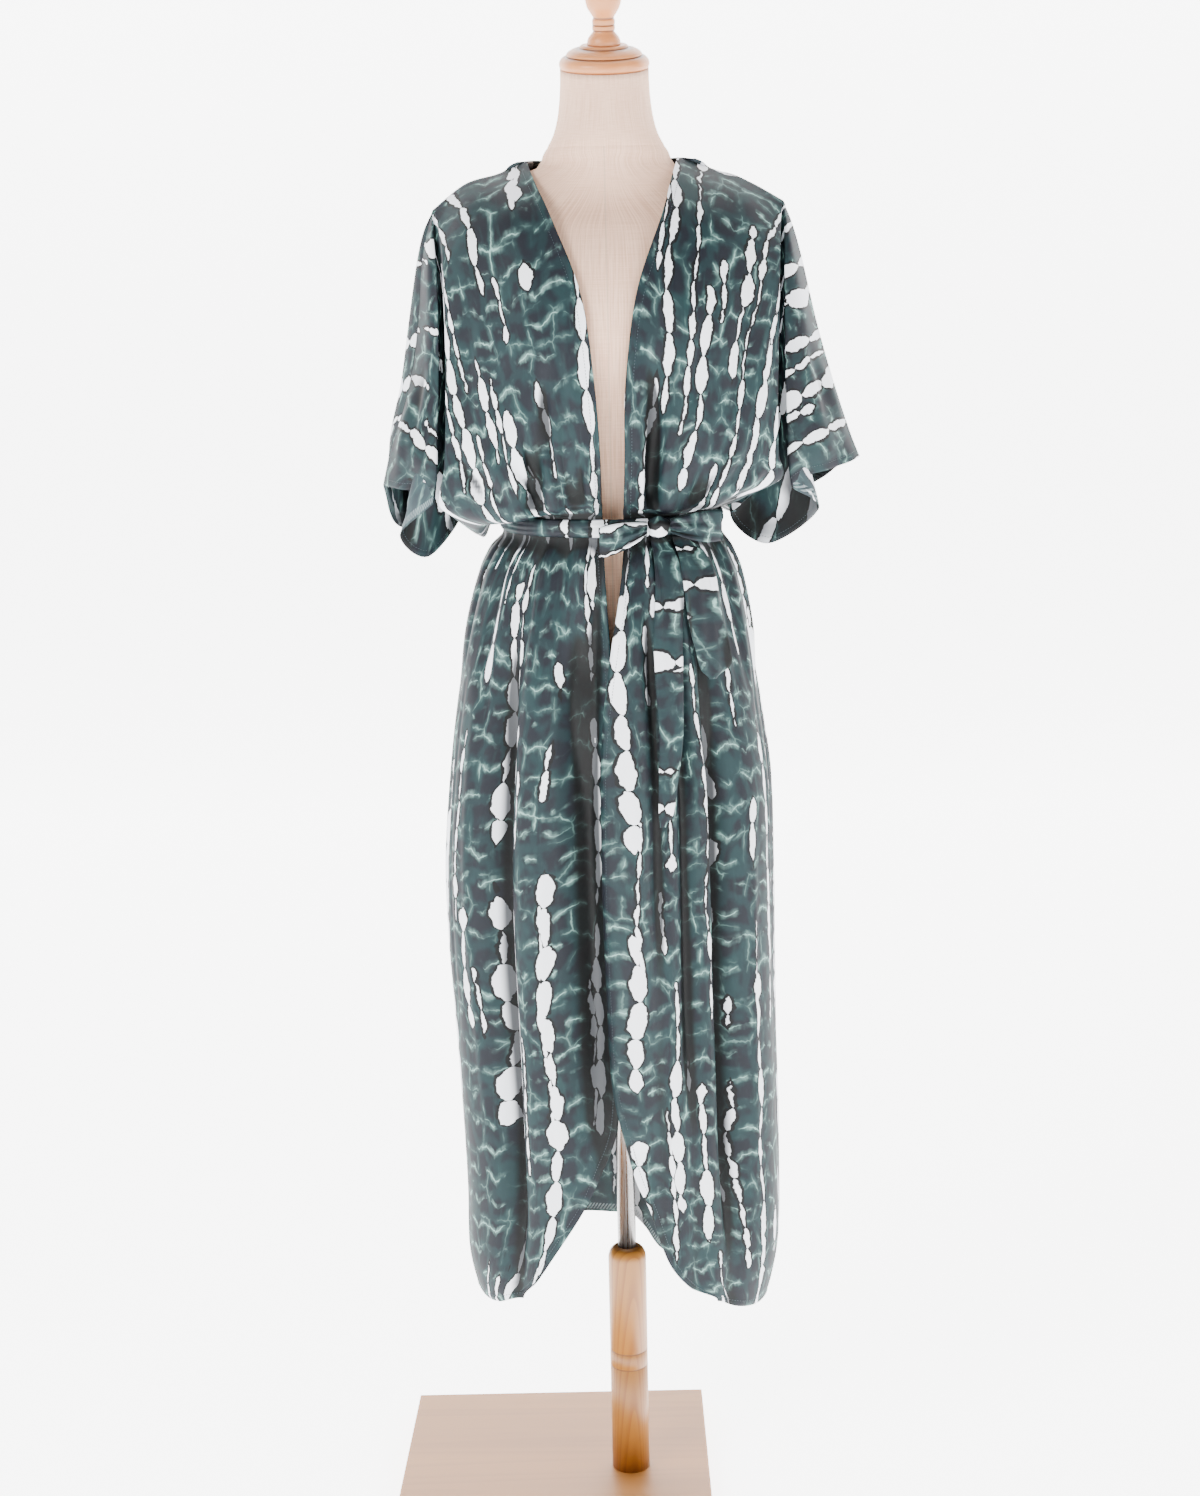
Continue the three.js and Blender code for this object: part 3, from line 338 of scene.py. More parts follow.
BACK_BODICE_FOLDS = [
    (-104, -62, 1180, 9, -8),
    (-44, -34, 1200, 9, -7),
    (12, 4, 1170, 8, -6),
    (58, 38, 1210, 9, -8),
    (112, 70, 1160, 9, -6),
]
print("rows of the form and the skirt", len(FORM), len(SKIRT))

# %% The form's and the skirt's surfaces
ROUNDNESS = 2.25                  # of the skirt's section
BELT_LOW, BELT_TOP = 1036, 1057
SEAM_GAP = 0.3
FORM_CLEARANCE = 3.2
CLOTH_END = 1400                  # above it no point of the cloth is pushed out of the form
FRONT_LAP = 6
LAP_HEIGHTS = (1020, 940, 455, 420)
LAP_EDGE = 8, 34                  # x over which the upper front comes down on the lower one
GATHERS_IN, GATHERS_OUT = (1038, 1015), (940, 860)
SKIRT_LOW = 250                   # height at which a fold's bearing at the hem holds
FOLD_LOSS, LOSS_OVER = 0.75, 160  # part of a fold that is gone at its lower end, and over what height
DEEPER = 1.3                      # thin cloth folds in deeper than the wall of the solid can
FINE = 5                          # rows and columns of the shell for each one of the solid
# small soft gathers under the belt: how many round the waist, depth, phase
GATHERS = ((22, 3.2, 0.0), (37, 1.1, 1.3), (53, 0.6, 4.0))
# bearing at the top and at the bottom, half width (degrees), depth, upper end, lower end
SMALL_FOLDS = (
    (-12, -8, 8.5, -7, 1010, 330), (-41, -42, 6, -4, 980, 280), (39, 41, 6, -4, 980, 300),
    (-74, -70, 2.6, -3.0, 1000, 640), (-66, -66, 1.8, -2.2, 940, 520), (-56, -52, 2.2, 2.4, 900, 420),
    (-50, -51, 1.5, -2.6, 1005, 760), (-33, -35, 1.8, -2.4, 880, 430), (-22, -18, 1.6, 2.2, 1000, 700),
    (-20, -23, 1.3, -1.8, 760, 330), (-2, 1, 1.6, -2.4, 1005, 620), (7, 9, 1.4, 1.8, 850, 500),
    (17, 18, 1.4, -2.2, 900, 470), (29, 31, 1.7, -3.0, 1010, 560), (33, 35, 1.3, 1.8, 760, 300),
    (46, 47, 1.8, -2.6, 1000, 700), (53, 50, 2.2, 2.4, 800, 340), (66, 69, 2.0, -2.8, 980, 600),
    (74, 73, 1.7, -2.0, 720, 330), (92, 95, 2.3, 2.4, 960, 500), (100, 98, 1.8, -2.8, 1000, 640),
    (117, 119, 2.0, -2.6, 900, 400), (139, 136, 2.2, 2.6, 980, 560), (158, 160, 1.8, -2.8, 1000, 620),
    (178, 176, 2.0, 2.2, 860, 400), (-176, -179, 1.6, -2.6, 1000, 700), (-157, -154, 2.2, -2.8, 940, 480),
    (-137, -139, 1.9, 2.4, 900, 420), (-114, -112, 2.1, -3.0, 990, 560), (-95, -97, 1.8, -2.2, 880, 430),
)


def section(half_width, front, back, bearing, roundness):
    """Points round a section, at bearings from the front's middle."""
    s, c = np.sin(np.radians(bearing)), np.cos(np.radians(bearing))
    x = half_width * np.sign(s) * np.abs(s) ** (2 / roundness)
    y = -np.where(c > 0, front, back) * np.sign(c) * np.abs(c) ** (2 / roundness)
    return x, y


def clear_of_form(points):
    """Cloth points pushed out until they are clear of the form."""
    x, y, z = np.moveaxis(points, -1, 0)
    wide = read(FORM, z, 1) + FORM_CLEARANCE
    deep = np.where(y < 0, read(FORM, z, 2), read(FORM, z, 3)) + FORM_CLEARANCE
    power = read(FORM, z, 4)
    inside = (np.abs(x / wide) ** power + np.abs(y / deep) ** power) ** (1 / power)
    middle = 0.05
    held = (z >= FORM[0][0]) & (z <= CLOTH_END) & (inside < 1) & (inside > middle)
    reach = np.where(held, 1 / np.maximum(inside, middle), 1)
    return np.stack([x * reach, y * reach, z], -1)


def apart(bearing, other):
    """The angle between two bearings, from -180 to 180 degrees."""
    return (bearing - other + 540) % 360 - 180


def gathers(bearing):
    """Small waves round the waist, pushed together here and there."""
    turn = np.radians(bearing)
    crowding = 1.7 * np.sin(turn * 3)
    return sum(depth * np.cos(turn * count + phase + crowding) for count, depth, phase in GATHERS)


def skirt_relief(bearing, z):
    """How far the folds push the skirt out at a bearing and height, in mm."""
    relief = gathers(bearing) * smooth(*GATHERS_IN, z) * (1 - smooth(*GATHERS_OUT, z))
    for belt, hem, half, depth, top, full, low in SKIRT_FOLDS:
        depth = depth * DEEPER if depth < 0 else depth
        at = belt + (hem - belt) * (BELT_LOW - z) / (BELT_LOW - SKIRT_LOW)
        fade = smooth(top, full, z) * (1 - FOLD_LOSS * smooth(low + LOSS_OVER, low, z))
        relief = relief + depth * bell(apart(bearing, at), half) * fade
    for upper, lower, half, depth, top, bottom in SMALL_FOLDS:
        way = np.clip((top - z) / (top - bottom), 0, 1)
        fade = np.sin(np.pi * way) ** 0.7
        relief = relief + depth * bell(apart(bearing, upper + (lower - upper) * way), half) * fade
    return relief


def skirt_outline(bearing, z):
    """The skirt's section at a height, before its folds."""
    half_width = np.where(bearing < 0, read(SKIRT, z, 1), read(SKIRT, z, 2))
    return section(half_width, read(SKIRT, z, 3), read(SKIRT, z, 4), bearing, ROUNDNESS)


def skirt_point(bearing, z, lift=0.0):
    """A point of the skirt at a bearing and height, pushed out by lift."""
    bearing, z = np.broadcast_arrays(np.asarray(bearing, float), np.asarray(z, float))
    x, y = skirt_outline(bearing, z)
    reach = 1 + (skirt_relief(bearing, z) + lift) / np.hypot(x, y)
    return clear_of_form(np.stack([x * reach, y * reach, z], -1))


def bearing_of(x, z):
    """The bearing at which the front of the skirt has a given x."""
    half_width = np.where(x < 0, read(SKIRT, z, 1), read(SKIRT, z, 2))
    part = np.clip(np.abs(x) / half_width, 0, 1) ** (ROUNDNESS / 2)
    return np.sign(x) * np.degrees(np.arcsin(part))


def lap_lift(x, z):
    """How far the upper front stands off the lower one."""
    begins, full, ends, gone = LAP_HEIGHTS
    held = smooth(begins, full, z) * (1 - smooth(ends, gone, z))
    return FRONT_LAP * held * (1 - smooth(*LAP_EDGE, x))


def bodice_relief(folds, x, z):
    """How far the folds that rise from the belt push the bodice out, in mm."""
    relief = 0
    for top, belt, height, half, depth in folds:
        up = np.clip((z - BELT_TOP) / (height - BELT_TOP), 0, 1)
        fade = (1 - up) * smooth(BELT_TOP + 2, BELT_TOP + 24, z)
        relief = relief + depth * bell(x - (belt + (top - belt) * up), half) * fade
    return relief


print("skirt point at the front", skirt_point(0, 800).round(1))

# %% [markdown]
# ## Cloth panels
# Each panel is a few sheets of points in rows and columns: body, sleeve, the part under the arm, and
# skirt. Every point also keeps its place on the flat pattern, in metres, because a dyed pattern lies
# on the flat cloth and is gathered, pleated and folded with it. The sleeve is cut in one with the
# body, so on the pattern it turns about the tip of the shoulder like a fan.

# %% Guide lines of the bodice and the sleeves
# Each guide is a line down the cloth, with x, y and z at the levels seam, collar, chest, bust, under
# bust, above belt, drop, sag, tuck and belt top; those of the sleeve end at the cuff, which is the drop.
RIGHT_FRONT = {
    "edge": [
        [-76, 0, 1387], [-67, -42, 1365], [-52, -78, 1332], [-26, -109, 1262], [-15.5, -112, 1180],
        [-11.5, -107, 1115], [-11, -102, 1075], [-11, -101, 1068], [-11, -100.5, 1062], [-11, -100, 1057],
    ],
    "bust": [
        [-103, 0, 1376], [-97, -44, 1354], [-90, -82, 1318], [-78, -110, 1245], [-70, -114, 1175],
        [-60, -111, 1112], [-54, -102, 1072], [-52, -98, 1064], [-49, -96, 1060], [-46, -93, 1057],
    ],
    "outer": [
        [-135, 0, 1367], [-131, -38, 1342], [-127, -66, 1305], [-121, -92, 1238], [-116, -101, 1172],
        [-110, -101, 1108], [-102, -92, 1060], [-94, -84, 1052], [-86, -76, 1056], [-78, -72, 1057],
    ],
    "ridge": [
        [-166, 0, 1344], [-159, -24, 1321], [-156, -47, 1290], [-155, -67, 1230], [-156, -77, 1168],
        [-159, -79, 1105], [-163, -68, 1066], [-134, -57, 1048], [-114, -51, 1049], [-98, -42, 1057],
    ],
    "under": [
        None, None, None, None, None, None,
        [-156, -34, 1053], [-132, -20, 1034], [-120, -18, 1046], [-105, -16, 1057],
    ],
    "side": [
        None, None, None, None, None, None,
        [-149, 4, 1050], [-129, 9, 1027], [-119, 8, 1044], [-106, 6, 1057],
    ],
    "valley": [
        [-166, 0, 1344], [-164, -11, 1321], [-160, -22, 1288], [-158, -30, 1230], [-156, -33, 1168],
        [-154, -20, 1105], [-149, 4, 1050],
    ],
    "loop": [
        [-166, 0, 1344], [-165, -12, 1321], [-161.5, -25, 1288], [-160, -35, 1230], [-162, -39, 1165],
        [-168, -29, 1092], [-183, -8, 1011],
    ],
    "tuckIn": [
        [-166, 0, 1344], [-165.5, -13, 1321], [-163, -29, 1288], [-163, -41, 1230], [-168, -44, 1168],
        [-184, -41, 1105], [-207, -32, 1036],
    ],
    "pleat": [
        [-166, 0, 1344], [-166.5, -14, 1321], [-164, -33, 1288], [-163, -47, 1230], [-164, -57, 1170],
        [-167, -62, 1112], [-170, -57, 1073],
    ],
    "sleeve": [
        [-166, 0, 1344], [-169, -12, 1321], [-172, -27, 1287], [-173, -38, 1231], [-179, -45, 1175],
        [-195, -47, 1118], [-203, -32, 1080],
    ],
    "top": [
        [-166, 0, 1344], [-173, -3, 1322], [-179, -8, 1289], [-184, -14, 1233], [-194, -16, 1178],
        [-213, -11, 1122], [-225, 0, 1082],
    ],
}

LEFT_FRONT = {
    "edge": [
        [68, 0, 1388], [60, -42, 1366], [50, -76, 1334], [25, -107, 1265], [13, -112, 1182],
        [11, -107, 1115], [9.5, -102, 1075], [9.5, -101, 1068], [9, -100.5, 1062], [9, -100, 1057],
    ],
    "bust": [
        [100, 0, 1377], [95, -44, 1354], [88, -82, 1318], [76, -110, 1245], [68, -114, 1175],
        [58, -111, 1112], [52, -104, 1068], [50, -99, 1060], [47, -95, 1058], [44, -93, 1057],
    ],
    "outer": [
        [134, 0, 1365], [131, -38, 1341], [128, -66, 1304], [123, -92, 1236], [119, -101, 1170],
        [116, -102, 1112], [108, -94, 1075], [96, -82, 1064], [86, -74, 1059], [77, -71, 1057],
    ],
    "ridge": [
        [168, 0, 1346], [164, -24, 1322], [162, -47, 1290], [159, -68, 1228], [157, -78, 1165],
        [157, -80, 1112], [159, -68, 1089], [130, -52, 1073], [110, -45, 1062], [97, -41, 1057],
    ],
    "under": [
        None, None, None, None, None, None,
        [136, -32, 1068], [122, -20, 1064], [110, -17, 1061], [102, -16, 1057],
    ],
    "side": [
        None, None, None, None, None, None,
        [116, 4, 1047], [113.5, 4, 1054], [109, 4, 1059], [103.5, 4, 1057],
    ],
    "valley": [
        [168, 0, 1346], [166, -11, 1322], [163, -22, 1289], [159, -30, 1229], [155, -30, 1165],
        [143, -15, 1101], [116, 4, 1047],
    ],
    "loop": [
        [168, 0, 1346], [167, -12, 1322], [165, -25, 1289], [163, -36, 1230], [163, -39, 1166],
        [163, -24, 1096], [152, 1, 1016],
    ],
    "tuckIn": [
        [168, 0, 1346], [168, -13, 1322], [167, -29, 1289], [167, -42, 1230], [171, -46, 1170],
        [183, -44, 1112], [199, -35, 1053],
    ],
    "pleat": [
        [168, 0, 1346], [169, -14, 1322], [168, -33, 1289], [167, -48, 1230], [167, -57, 1172],
        [168, -62, 1118], [171, -60, 1080],
    ],
    "sleeve": [
        [168, 0, 1346], [172, -12, 1323], [177, -26, 1291], [186, -36, 1232], [194, -42, 1180],
        [206, -44, 1123], [212, -36, 1092],
    ],
    "top": [
        [168, 0, 1346], [177, 0, 1325], [186, 0, 1294], [200, 0, 1234], [214, 0, 1184],
        [232, 0, 1128], [243, 0, 1100],
    ],
}

BACK = {
    "middle": [
        [0, 54, 1384], [0, 68, 1353], [0, 82, 1315], [0, 93, 1245], [0, 93, 1175],
        [0, 91, 1110], [0, 90, 1072], [0, 90, 1066], [0, 89, 1061], [0, 88, 1057],
    ],
    "neck": [
        [76, 0, 1387], [74, 44, 1365], [72, 70, 1330], [69, 92, 1255], [65, 96, 1180],
        [58, 93, 1112], [54, 86, 1068], [51, 82, 1061], [48, 79, 1059], [45, 78, 1057],
    ],
    "yoke": [
        [102, 0, 1376], [98, 42, 1355], [96, 67, 1318], [93, 89, 1248], [90, 94, 1176],
        [85, 92, 1110], [79, 83, 1064], [73, 77, 1056], [66, 72, 1057], [62, 70, 1057],
    ],
    "blade": [
        [128, 0, 1368], [124, 38, 1342], [121, 62, 1305], [119, 82, 1240], [117, 90, 1172],
        [113, 90, 1108], [106, 78, 1060], [96, 70, 1050], [86, 62, 1056], [78, 59, 1057],
    ],
    "ridge": [
        [167, 0, 1345], [162, 22, 1321], [161, 42, 1288], [162, 58, 1230], [163, 66, 1165],
        [161, 64, 1104], [154, 46, 1058], [132, 38, 1040], [112, 33, 1050], [98, 30, 1057],
    ],
    "sleeve": [
        [167, 0, 1345], [168, 16, 1321], [171, 32, 1288], [178, 44, 1230], [186, 50, 1170],
        [193, 48, 1115], [194, 42, 1062],
    ],
    "valley": [
        [167, 0, 1345], [166, 12, 1321], [163, 25, 1288], [161, 32, 1230], [159, 33, 1168],
        [155, 24, 1105], [152, 4, 1050],
    ],
}

# where the back half of each sleeve turns forward, by the same levels
BACK_TURN_RIGHT = [
    [-166, 0, 1344], [-177, 4, 1322], [-185, 6, 1290], [-195, 8, 1234], [-204, 9, 1180],
    [-216.5, 10, 1122], [-216.5, 20, 1042],
]

BACK_TURN_LEFT = [
    [168, 0, 1346], [176, 8, 1323], [185, 14, 1291], [198, 20, 1232], [211, 24, 1180],
    [227, 18, 1132], [234, 12, 1096],
]
# the solid's rows from each level to the next, and its columns from each guide to the next
LEVEL_STEPS = [2, 2, 2, 2, 2, 2, 1, 1, 1]
DROP = 6                               # the level of the cuffs
LEVELS = len(LEVEL_STEPS)
DROP_ROW = FINE * sum(LEVEL_STEPS[:DROP])
BODY_COLUMNS, SIDE_COLUMNS, SLEEVE_COLUMNS = [5, 5, 5], [3, 3], [6, 2, 2, 2, 2, 3]
BACK_BODY_COLUMNS, BACK_SLEEVE_COLUMNS, BACK_SIDE_COLUMNS = [4, 3, 2, 4], [3, 3, 3, 2], 3
NECK_HALF = 75                         # outside it the back's top row is the shoulder seam
BACK_CUFF = {"right": [-192, 42, 1034], "left": [190, 40, 1066]}
TIP_OUT, SIDE_OUT = 0.17, 0.37         # pattern: shoulder tip and side seam from the middle, metres
RIDGE_TURN = math.radians(68)          # the side fold's direction from the tip on the pattern
CUFF_TURN = math.radians(4)            # the top of the sleeve's
SPREAD_OVER = 0.3                      # metres below the belt over which its gathers open out
print("guides", len(RIGHT_FRONT) + len(LEFT_FRONT) + len(BACK))

# %% Sheets of points
def finer(steps):
    """The solid's steps, cut finer for the shell."""
    return [FINE * count for count in steps]


def guide_rows(guide, start, stop):
    """Points down a guide line, from one level to another."""
    return along(guide[start:stop + 1], finer(LEVEL_STEPS[start:stop]))


def across(guides, columns, start, stop):
    """Rows of points across several guide lines."""
    lines = np.array([guide_rows(guide, start, stop) for guide in guides])
    return along(lines, finer(columns)).transpose(1, 0, 2)


def ease_last(rows, target, count):
    """Bends the last rows so that the lowest one lands on target."""
    weight = smooth(0, 1, np.arange(count + 1) / count)
    rows[-count - 1:] += weight[:, None, None] * (target - rows[-1])


def lengths(points):
    """Running length along the first axis, in metres."""
    steps = np.linalg.norm(np.diff(points, axis=0), axis=-1)
    if steps.ndim > 1:
        steps = steps.mean(axis=1)
    return np.concatenate([[0], np.cumsum(steps)]) * MM


def sheet_of(points, plan, hem, flip, seams=()):
    """A sheet: points in mm, their places on the pattern and the way to the nearest cut edge, in m.

    The seams are the parts of the grid that lie on a seam, as index pairs."""
    on_seam = np.zeros(points.shape[:2], bool)
    for part in seams:
        on_seam[part] = True
    return {"at": points, "plan": plan, "hem": np.broadcast_to(hem, points.shape[:2]), "flip": flip,
            "seam": on_seam}


ALL = slice(None)
FIRST_ROW = (0, ALL)
FIRST_COLUMN = (ALL, 0)
LAST_COLUMN = (ALL, -1)


def between_rows(heights, counts):
    """Heights cut into counts[i] even steps after the i-th."""
    cuts = [z for a, b, count in zip(heights, heights[1:], counts)
            for z in np.linspace(a, b, count, endpoint=False)]
    return cuts + [heights[-1]]


def skirt_sheet(bearings_at, lowest, place):
    """Rows of the skirt; the last stretch runs down to the hem, which is lower at the sides."""
    rows = []
    for z in between_rows(SKIRT_HEIGHTS, [FINE] * len(SKIRT_HEIGHTS)):
        bearing = bearings_at(z)
        rows.append(place(bearing, np.full_like(bearing, z)))
    for t in np.arange(1, 2 * FINE + 1) / (2 * FINE):
        bearing = bearings_at(SKIRT_HEIGHTS[-1] + (lowest - SKIRT_HEIGHTS[-1]) * t)
        z = SKIRT_HEIGHTS[-1] + (read(HEM, bearing) - SKIRT_HEIGHTS[-1]) * t
        rows.append(place(bearing, z))
    return np.array(rows)


def fan(sleeve, down, side, sweep):
    """Pattern places of a sleeve, turned about the shoulder tip."""
    turn = lengths(sleeve[-1][:, None])
    angle = RIDGE_TURN + (CUFF_TURN - RIDGE_TURN) * turn / turn[-1]
    out = TIP_OUT + down[:, None] * np.cos(angle)
    return np.stack([side * out, down[:, None] * np.sin(angle)], -1) + sweep


def body_plan(edge, down, share):
    """Pattern places of the body: the belt gathers in cloth from as far out as the side fold."""
    outer = TIP_OUT + down[:, None] * math.cos(RIDGE_TURN)
    lower = down[:, None] * (1 - (1 - math.sin(RIDGE_TURN)) * share ** 2)
    return edge + (outer - edge) * share, lower


def under_plan(down, share):
    """Pattern places of the part under the arm, between the side fold and the side seam."""
    out = TIP_OUT + down[:, None] * math.cos(RIDGE_TURN)
    lower = math.sin(RIDGE_TURN) + (1 - math.sin(RIDGE_TURN)) * share
    return out + (SIDE_OUT - out) * share, down[:, None] * lower


def skirt_plan(skirt, down, at_belt, even):
    """Pattern places of the skirt: the cloth that the belt gathers opens out below it."""
    below = (BELT_TOP - skirt[..., 2]) * MM
    return at_belt + (even - at_belt) * smooth(0, SPREAD_OVER, below), down + below


def on_pattern(out, lower, sweep):
    """Places on the cloth's pattern, from the way out and down; sweep sets the piece apart on it."""
    return np.stack(np.broadcast_arrays(out, lower), -1) + sweep


def with_belt_row(skirt):
    """The skirt's rows with one more above them, at the top of the belt."""
    belt_row = skirt[0] * [1, 1, 0] + [0, 0, BELT_TOP]
    return np.concatenate([belt_row[None], skirt])


def join_sleeve(sleeve, ridge, under, seam):
    """A sleeve whose edges meet the side fold, the part under the arm and the seam along its top."""
    top = sleeve[:, -1] + [0, seam, 0]
    sleeve = clear_of_form(sleeve)
    hem_row = sleeve[-1].copy()
    hem_row[:under.shape[1]] = under[0]
    ease_last(sleeve, hem_row, 2 * FINE)
    sleeve[:, -1], sleeve[:, 0], sleeve[0] = top, ridge[:DROP_ROW + 1], ridge[0]
    return sleeve


def sleeve_sheet(sleeve, under, down, side, sweep, flip):
    """A sleeve half as a sheet; its cuff is a cut edge except where the part under the arm joins it."""
    closed = np.arange(sleeve.shape[1]) < under.shape[1] - 1
    to_cuff = (down[DROP_ROW] - down[:DROP_ROW + 1])[:, None]
    return sheet_of(sleeve, fan(sleeve, down[:DROP_ROW + 1], side, sweep), to_cuff + closed, flip,
                    [LAST_COLUMN])


def front_panel(guides, edge_table, side, sweep):
    """One front with its half of the sleeve. The side is -1 at the viewer's left."""
    seam = -SEAM_GAP / 2
    body = across([guides[k] for k in ("edge", "bust", "outer", "ridge")], BODY_COLUMNS, 0, LEVELS)
    body[..., 1] -= bodice_relief(BODICE_FOLDS, body[..., 0], body[..., 2])
    body = clear_of_form(body)
    body[0, :, 1] += seam
    under = across([guides[k] for k in ("ridge", "under", "side")], SIDE_COLUMNS, DROP, LEVELS)
    under[:, -1, 1] += seam
    edge_x = lambda z: read(edge_table, z)
    columns = FINE * (sum(BODY_COLUMNS) + sum(SIDE_COLUMNS))
    step = np.arange(columns + 1) / columns

    def bearings_at(z):
        start = bearing_of(edge_x(z), z)
        return start + (side * 90 - start) * step

    def place(bearing, z):
        x = skirt_point(bearing, z)[..., 0]
        return skirt_point(bearing, z, lap_lift(x, z) if side > 0 else 0.0)

    skirt = skirt_sheet(bearings_at, edge_table[-1][0], place)
    skirt[:, -1, 1] = seam
    skirt = with_belt_row(skirt)
    ease_last(body, skirt[0, :body.shape[1]], FINE)
    ridge = body[:, -1]
    under[:, 0] = ridge[DROP_ROW:]
    ease_last(under, skirt[0, body.shape[1] - 1:], FINE)
    sleeve = across([guides[k] for k in ("ridge", "valley", "loop", "tuckIn", "pleat", "sleeve", "top")],
                    SLEEVE_COLUMNS, 0, DROP)
    sleeve = join_sleeve(sleeve, ridge, under, seam)

    down = lengths(body)
    share = np.arange(body.shape[1]) / (body.shape[1] - 1)
    edge = np.abs(body[:, :1, 0]) * MM
    body_out, body_down = body_plan(edge, down, share)
    edge_heights = np.concatenate([[BELT_LOW], skirt[1:, 0, 2]])
    skirt_edge = side * np.array([edge_x(z) for z in edge_heights])[:, None] * MM
    under_share = np.arange(under.shape[1]) / (under.shape[1] - 1)
    under_out, under_down = under_plan(down[DROP_ROW:], under_share)
    at_belt = np.concatenate([body_out[-1], under_out[-1, 1:]])
    even = skirt_edge + (SIDE_OUT - skirt_edge) * step
    skirt_out, skirt_down = skirt_plan(skirt, down[-1], at_belt, even)
    to_edge = np.minimum(skirt_out - skirt_edge, skirt_down[-1] - skirt_down)
    flip = side < 0
    return [
        sheet_of(body, on_pattern(side * body_out, body_down, sweep), body_out - edge, flip, [FIRST_ROW]),
        sleeve_sheet(sleeve, under, down, side, sweep, flip),
        sheet_of(under, on_pattern(side * under_out, under_down, sweep), 1.0, flip, [LAST_COLUMN]),
        sheet_of(skirt, on_pattern(side * skirt_out, skirt_down, sweep), to_edge, flip, [LAST_COLUMN]),
    ]


def back_panel(sweep):
    """The back with the back halves of both sleeves."""
    seam = SEAM_GAP / 2
    mirror = lambda guide: [[-x, y, z] for x, y, z in guide]
    tips = {"right": RIGHT_FRONT["ridge"][0], "left": LEFT_FRONT["ridge"][0]}
    tipped = lambda guide, tip: [tip] + guide[1:]
    half = [BACK["neck"], BACK["yoke"], BACK["blade"]]
    lines = [tipped(mirror(BACK["ridge"]), tips["right"])] + [mirror(g) for g in reversed(half)]
    lines += [BACK["middle"]] + half + [tipped(BACK["ridge"], tips["left"])]
    body = across(lines, BACK_BODY_COLUMNS + BACK_BODY_COLUMNS[::-1], 0, LEVELS)
    body[..., 1] += bodice_relief(BACK_BODICE_FOLDS, body[..., 0], body[..., 2])
    body = clear_of_form(body)
    shoulder = np.abs(body[0, :, 0]) > NECK_HALF
    body[0, shoulder, 1] = seam
    columns = body.shape[1] - 1
    sides = FINE * BACK_SIDE_COLUMNS
    step = np.arange(columns + 2 * sides + 1) / (columns + 2 * sides)

    def bearings_at(_):
        turned = -90 - 180 * step
        return np.where(turned < -180, turned + 360, turned)

    skirt = skirt_sheet(bearings_at, read(HEM, 180.0), skirt_point)
    skirt[:, [0, -1], 1] = seam
    skirt = with_belt_row(skirt)
    ease_last(body, skirt[0, sides:sides + columns + 1], FINE)
    down = lengths(body)
    share = np.arange(columns + 1) / columns * 2 - 1
    neck = np.where(shoulder, 1.0, down[:, None])
    body_out, body_down = body_plan(0.0, down, np.abs(share))
    body_out = body_out * np.sign(share)
    side_share = np.arange(sides + 1) / sides
    under_out, under_down = under_plan(down[DROP_ROW:], side_share)
    at_belt = np.concatenate([-under_out[-1, :0:-1], body_out[-1], under_out[-1, 1:]])
    even = (step * 2 - 1) * SIDE_OUT
    skirt_out, skirt_down = skirt_plan(skirt, down[-1], at_belt, even)
    sheets = [
        sheet_of(body, on_pattern(body_out, body_down, sweep), neck, True, [(0, shoulder)]),
        sheet_of(skirt, on_pattern(skirt_out, skirt_down, sweep), skirt_down[-1] - skirt_down, True,
                 [FIRST_COLUMN, LAST_COLUMN]),
    ]
    for name, side, fronts, turn in (("right", -1, RIGHT_FRONT, BACK_TURN_RIGHT),
                                     ("left", 1, LEFT_FRONT, BACK_TURN_LEFT)):
        use = mirror if side < 0 else list
        ridge = body[:, 0 if side < 0 else -1]
        valley = tipped(use(BACK["valley"]), tips[name])
        valley[DROP] = fronts["side"][DROP]
        middle = tipped(use(BACK["sleeve"]), tips[name])
        middle[DROP] = BACK_CUFF[name]
        sleeve = across([tipped(use(BACK["ridge"]), tips[name]), valley, middle, turn, fronts["top"]],
                        BACK_SLEEVE_COLUMNS, 0, DROP)
        edge = guide_rows(fronts["side"], DROP, LEVELS)
        part = side_share[:, None]
        under = np.array([a + (b - a) * part for a, b in zip(ridge[DROP_ROW:], edge)])
        under[:, -1, 1] += seam
        end = skirt[0, :sides + 1][::-1] if side < 0 else skirt[0, -sides - 1:]
        ease_last(under, end, FINE)
        sleeve = join_sleeve(sleeve, ridge, under, seam)
        sheets.append(sleeve_sheet(sleeve, under, down, side, sweep, side > 0))
        sheets.append(sheet_of(under, on_pattern(side * under_out, under_down, sweep), 1.0, side > 0,
                               [LAST_COLUMN]))
    return sheets


right_sheets = front_panel(RIGHT_FRONT, EDGE_RIGHT_FRONT, -1, (0.0, 0.0))
left_sheets = front_panel(LEFT_FRONT, EDGE_LEFT_FRONT, 1, (3.3, 1.7))
back_sheets = back_panel((-4.1, 2.9))
print("points in the sheets", [sum(s["at"].shape[0] * s["at"].shape[1] for s in p)
                               for p in (right_sheets, left_sheets, back_sheets)])

# %% [markdown]
# ## From sheets to a shell
# A garment is thin, so each panel becomes a shell 0.7 mm thick: the sheets are joined where their
# edges meet, creases are pressed in along the surface's own direction, and an inner side is set off
# from the outer one. The hem, the cuffs and the front edges are turned in once, which makes them a
# little thicker.

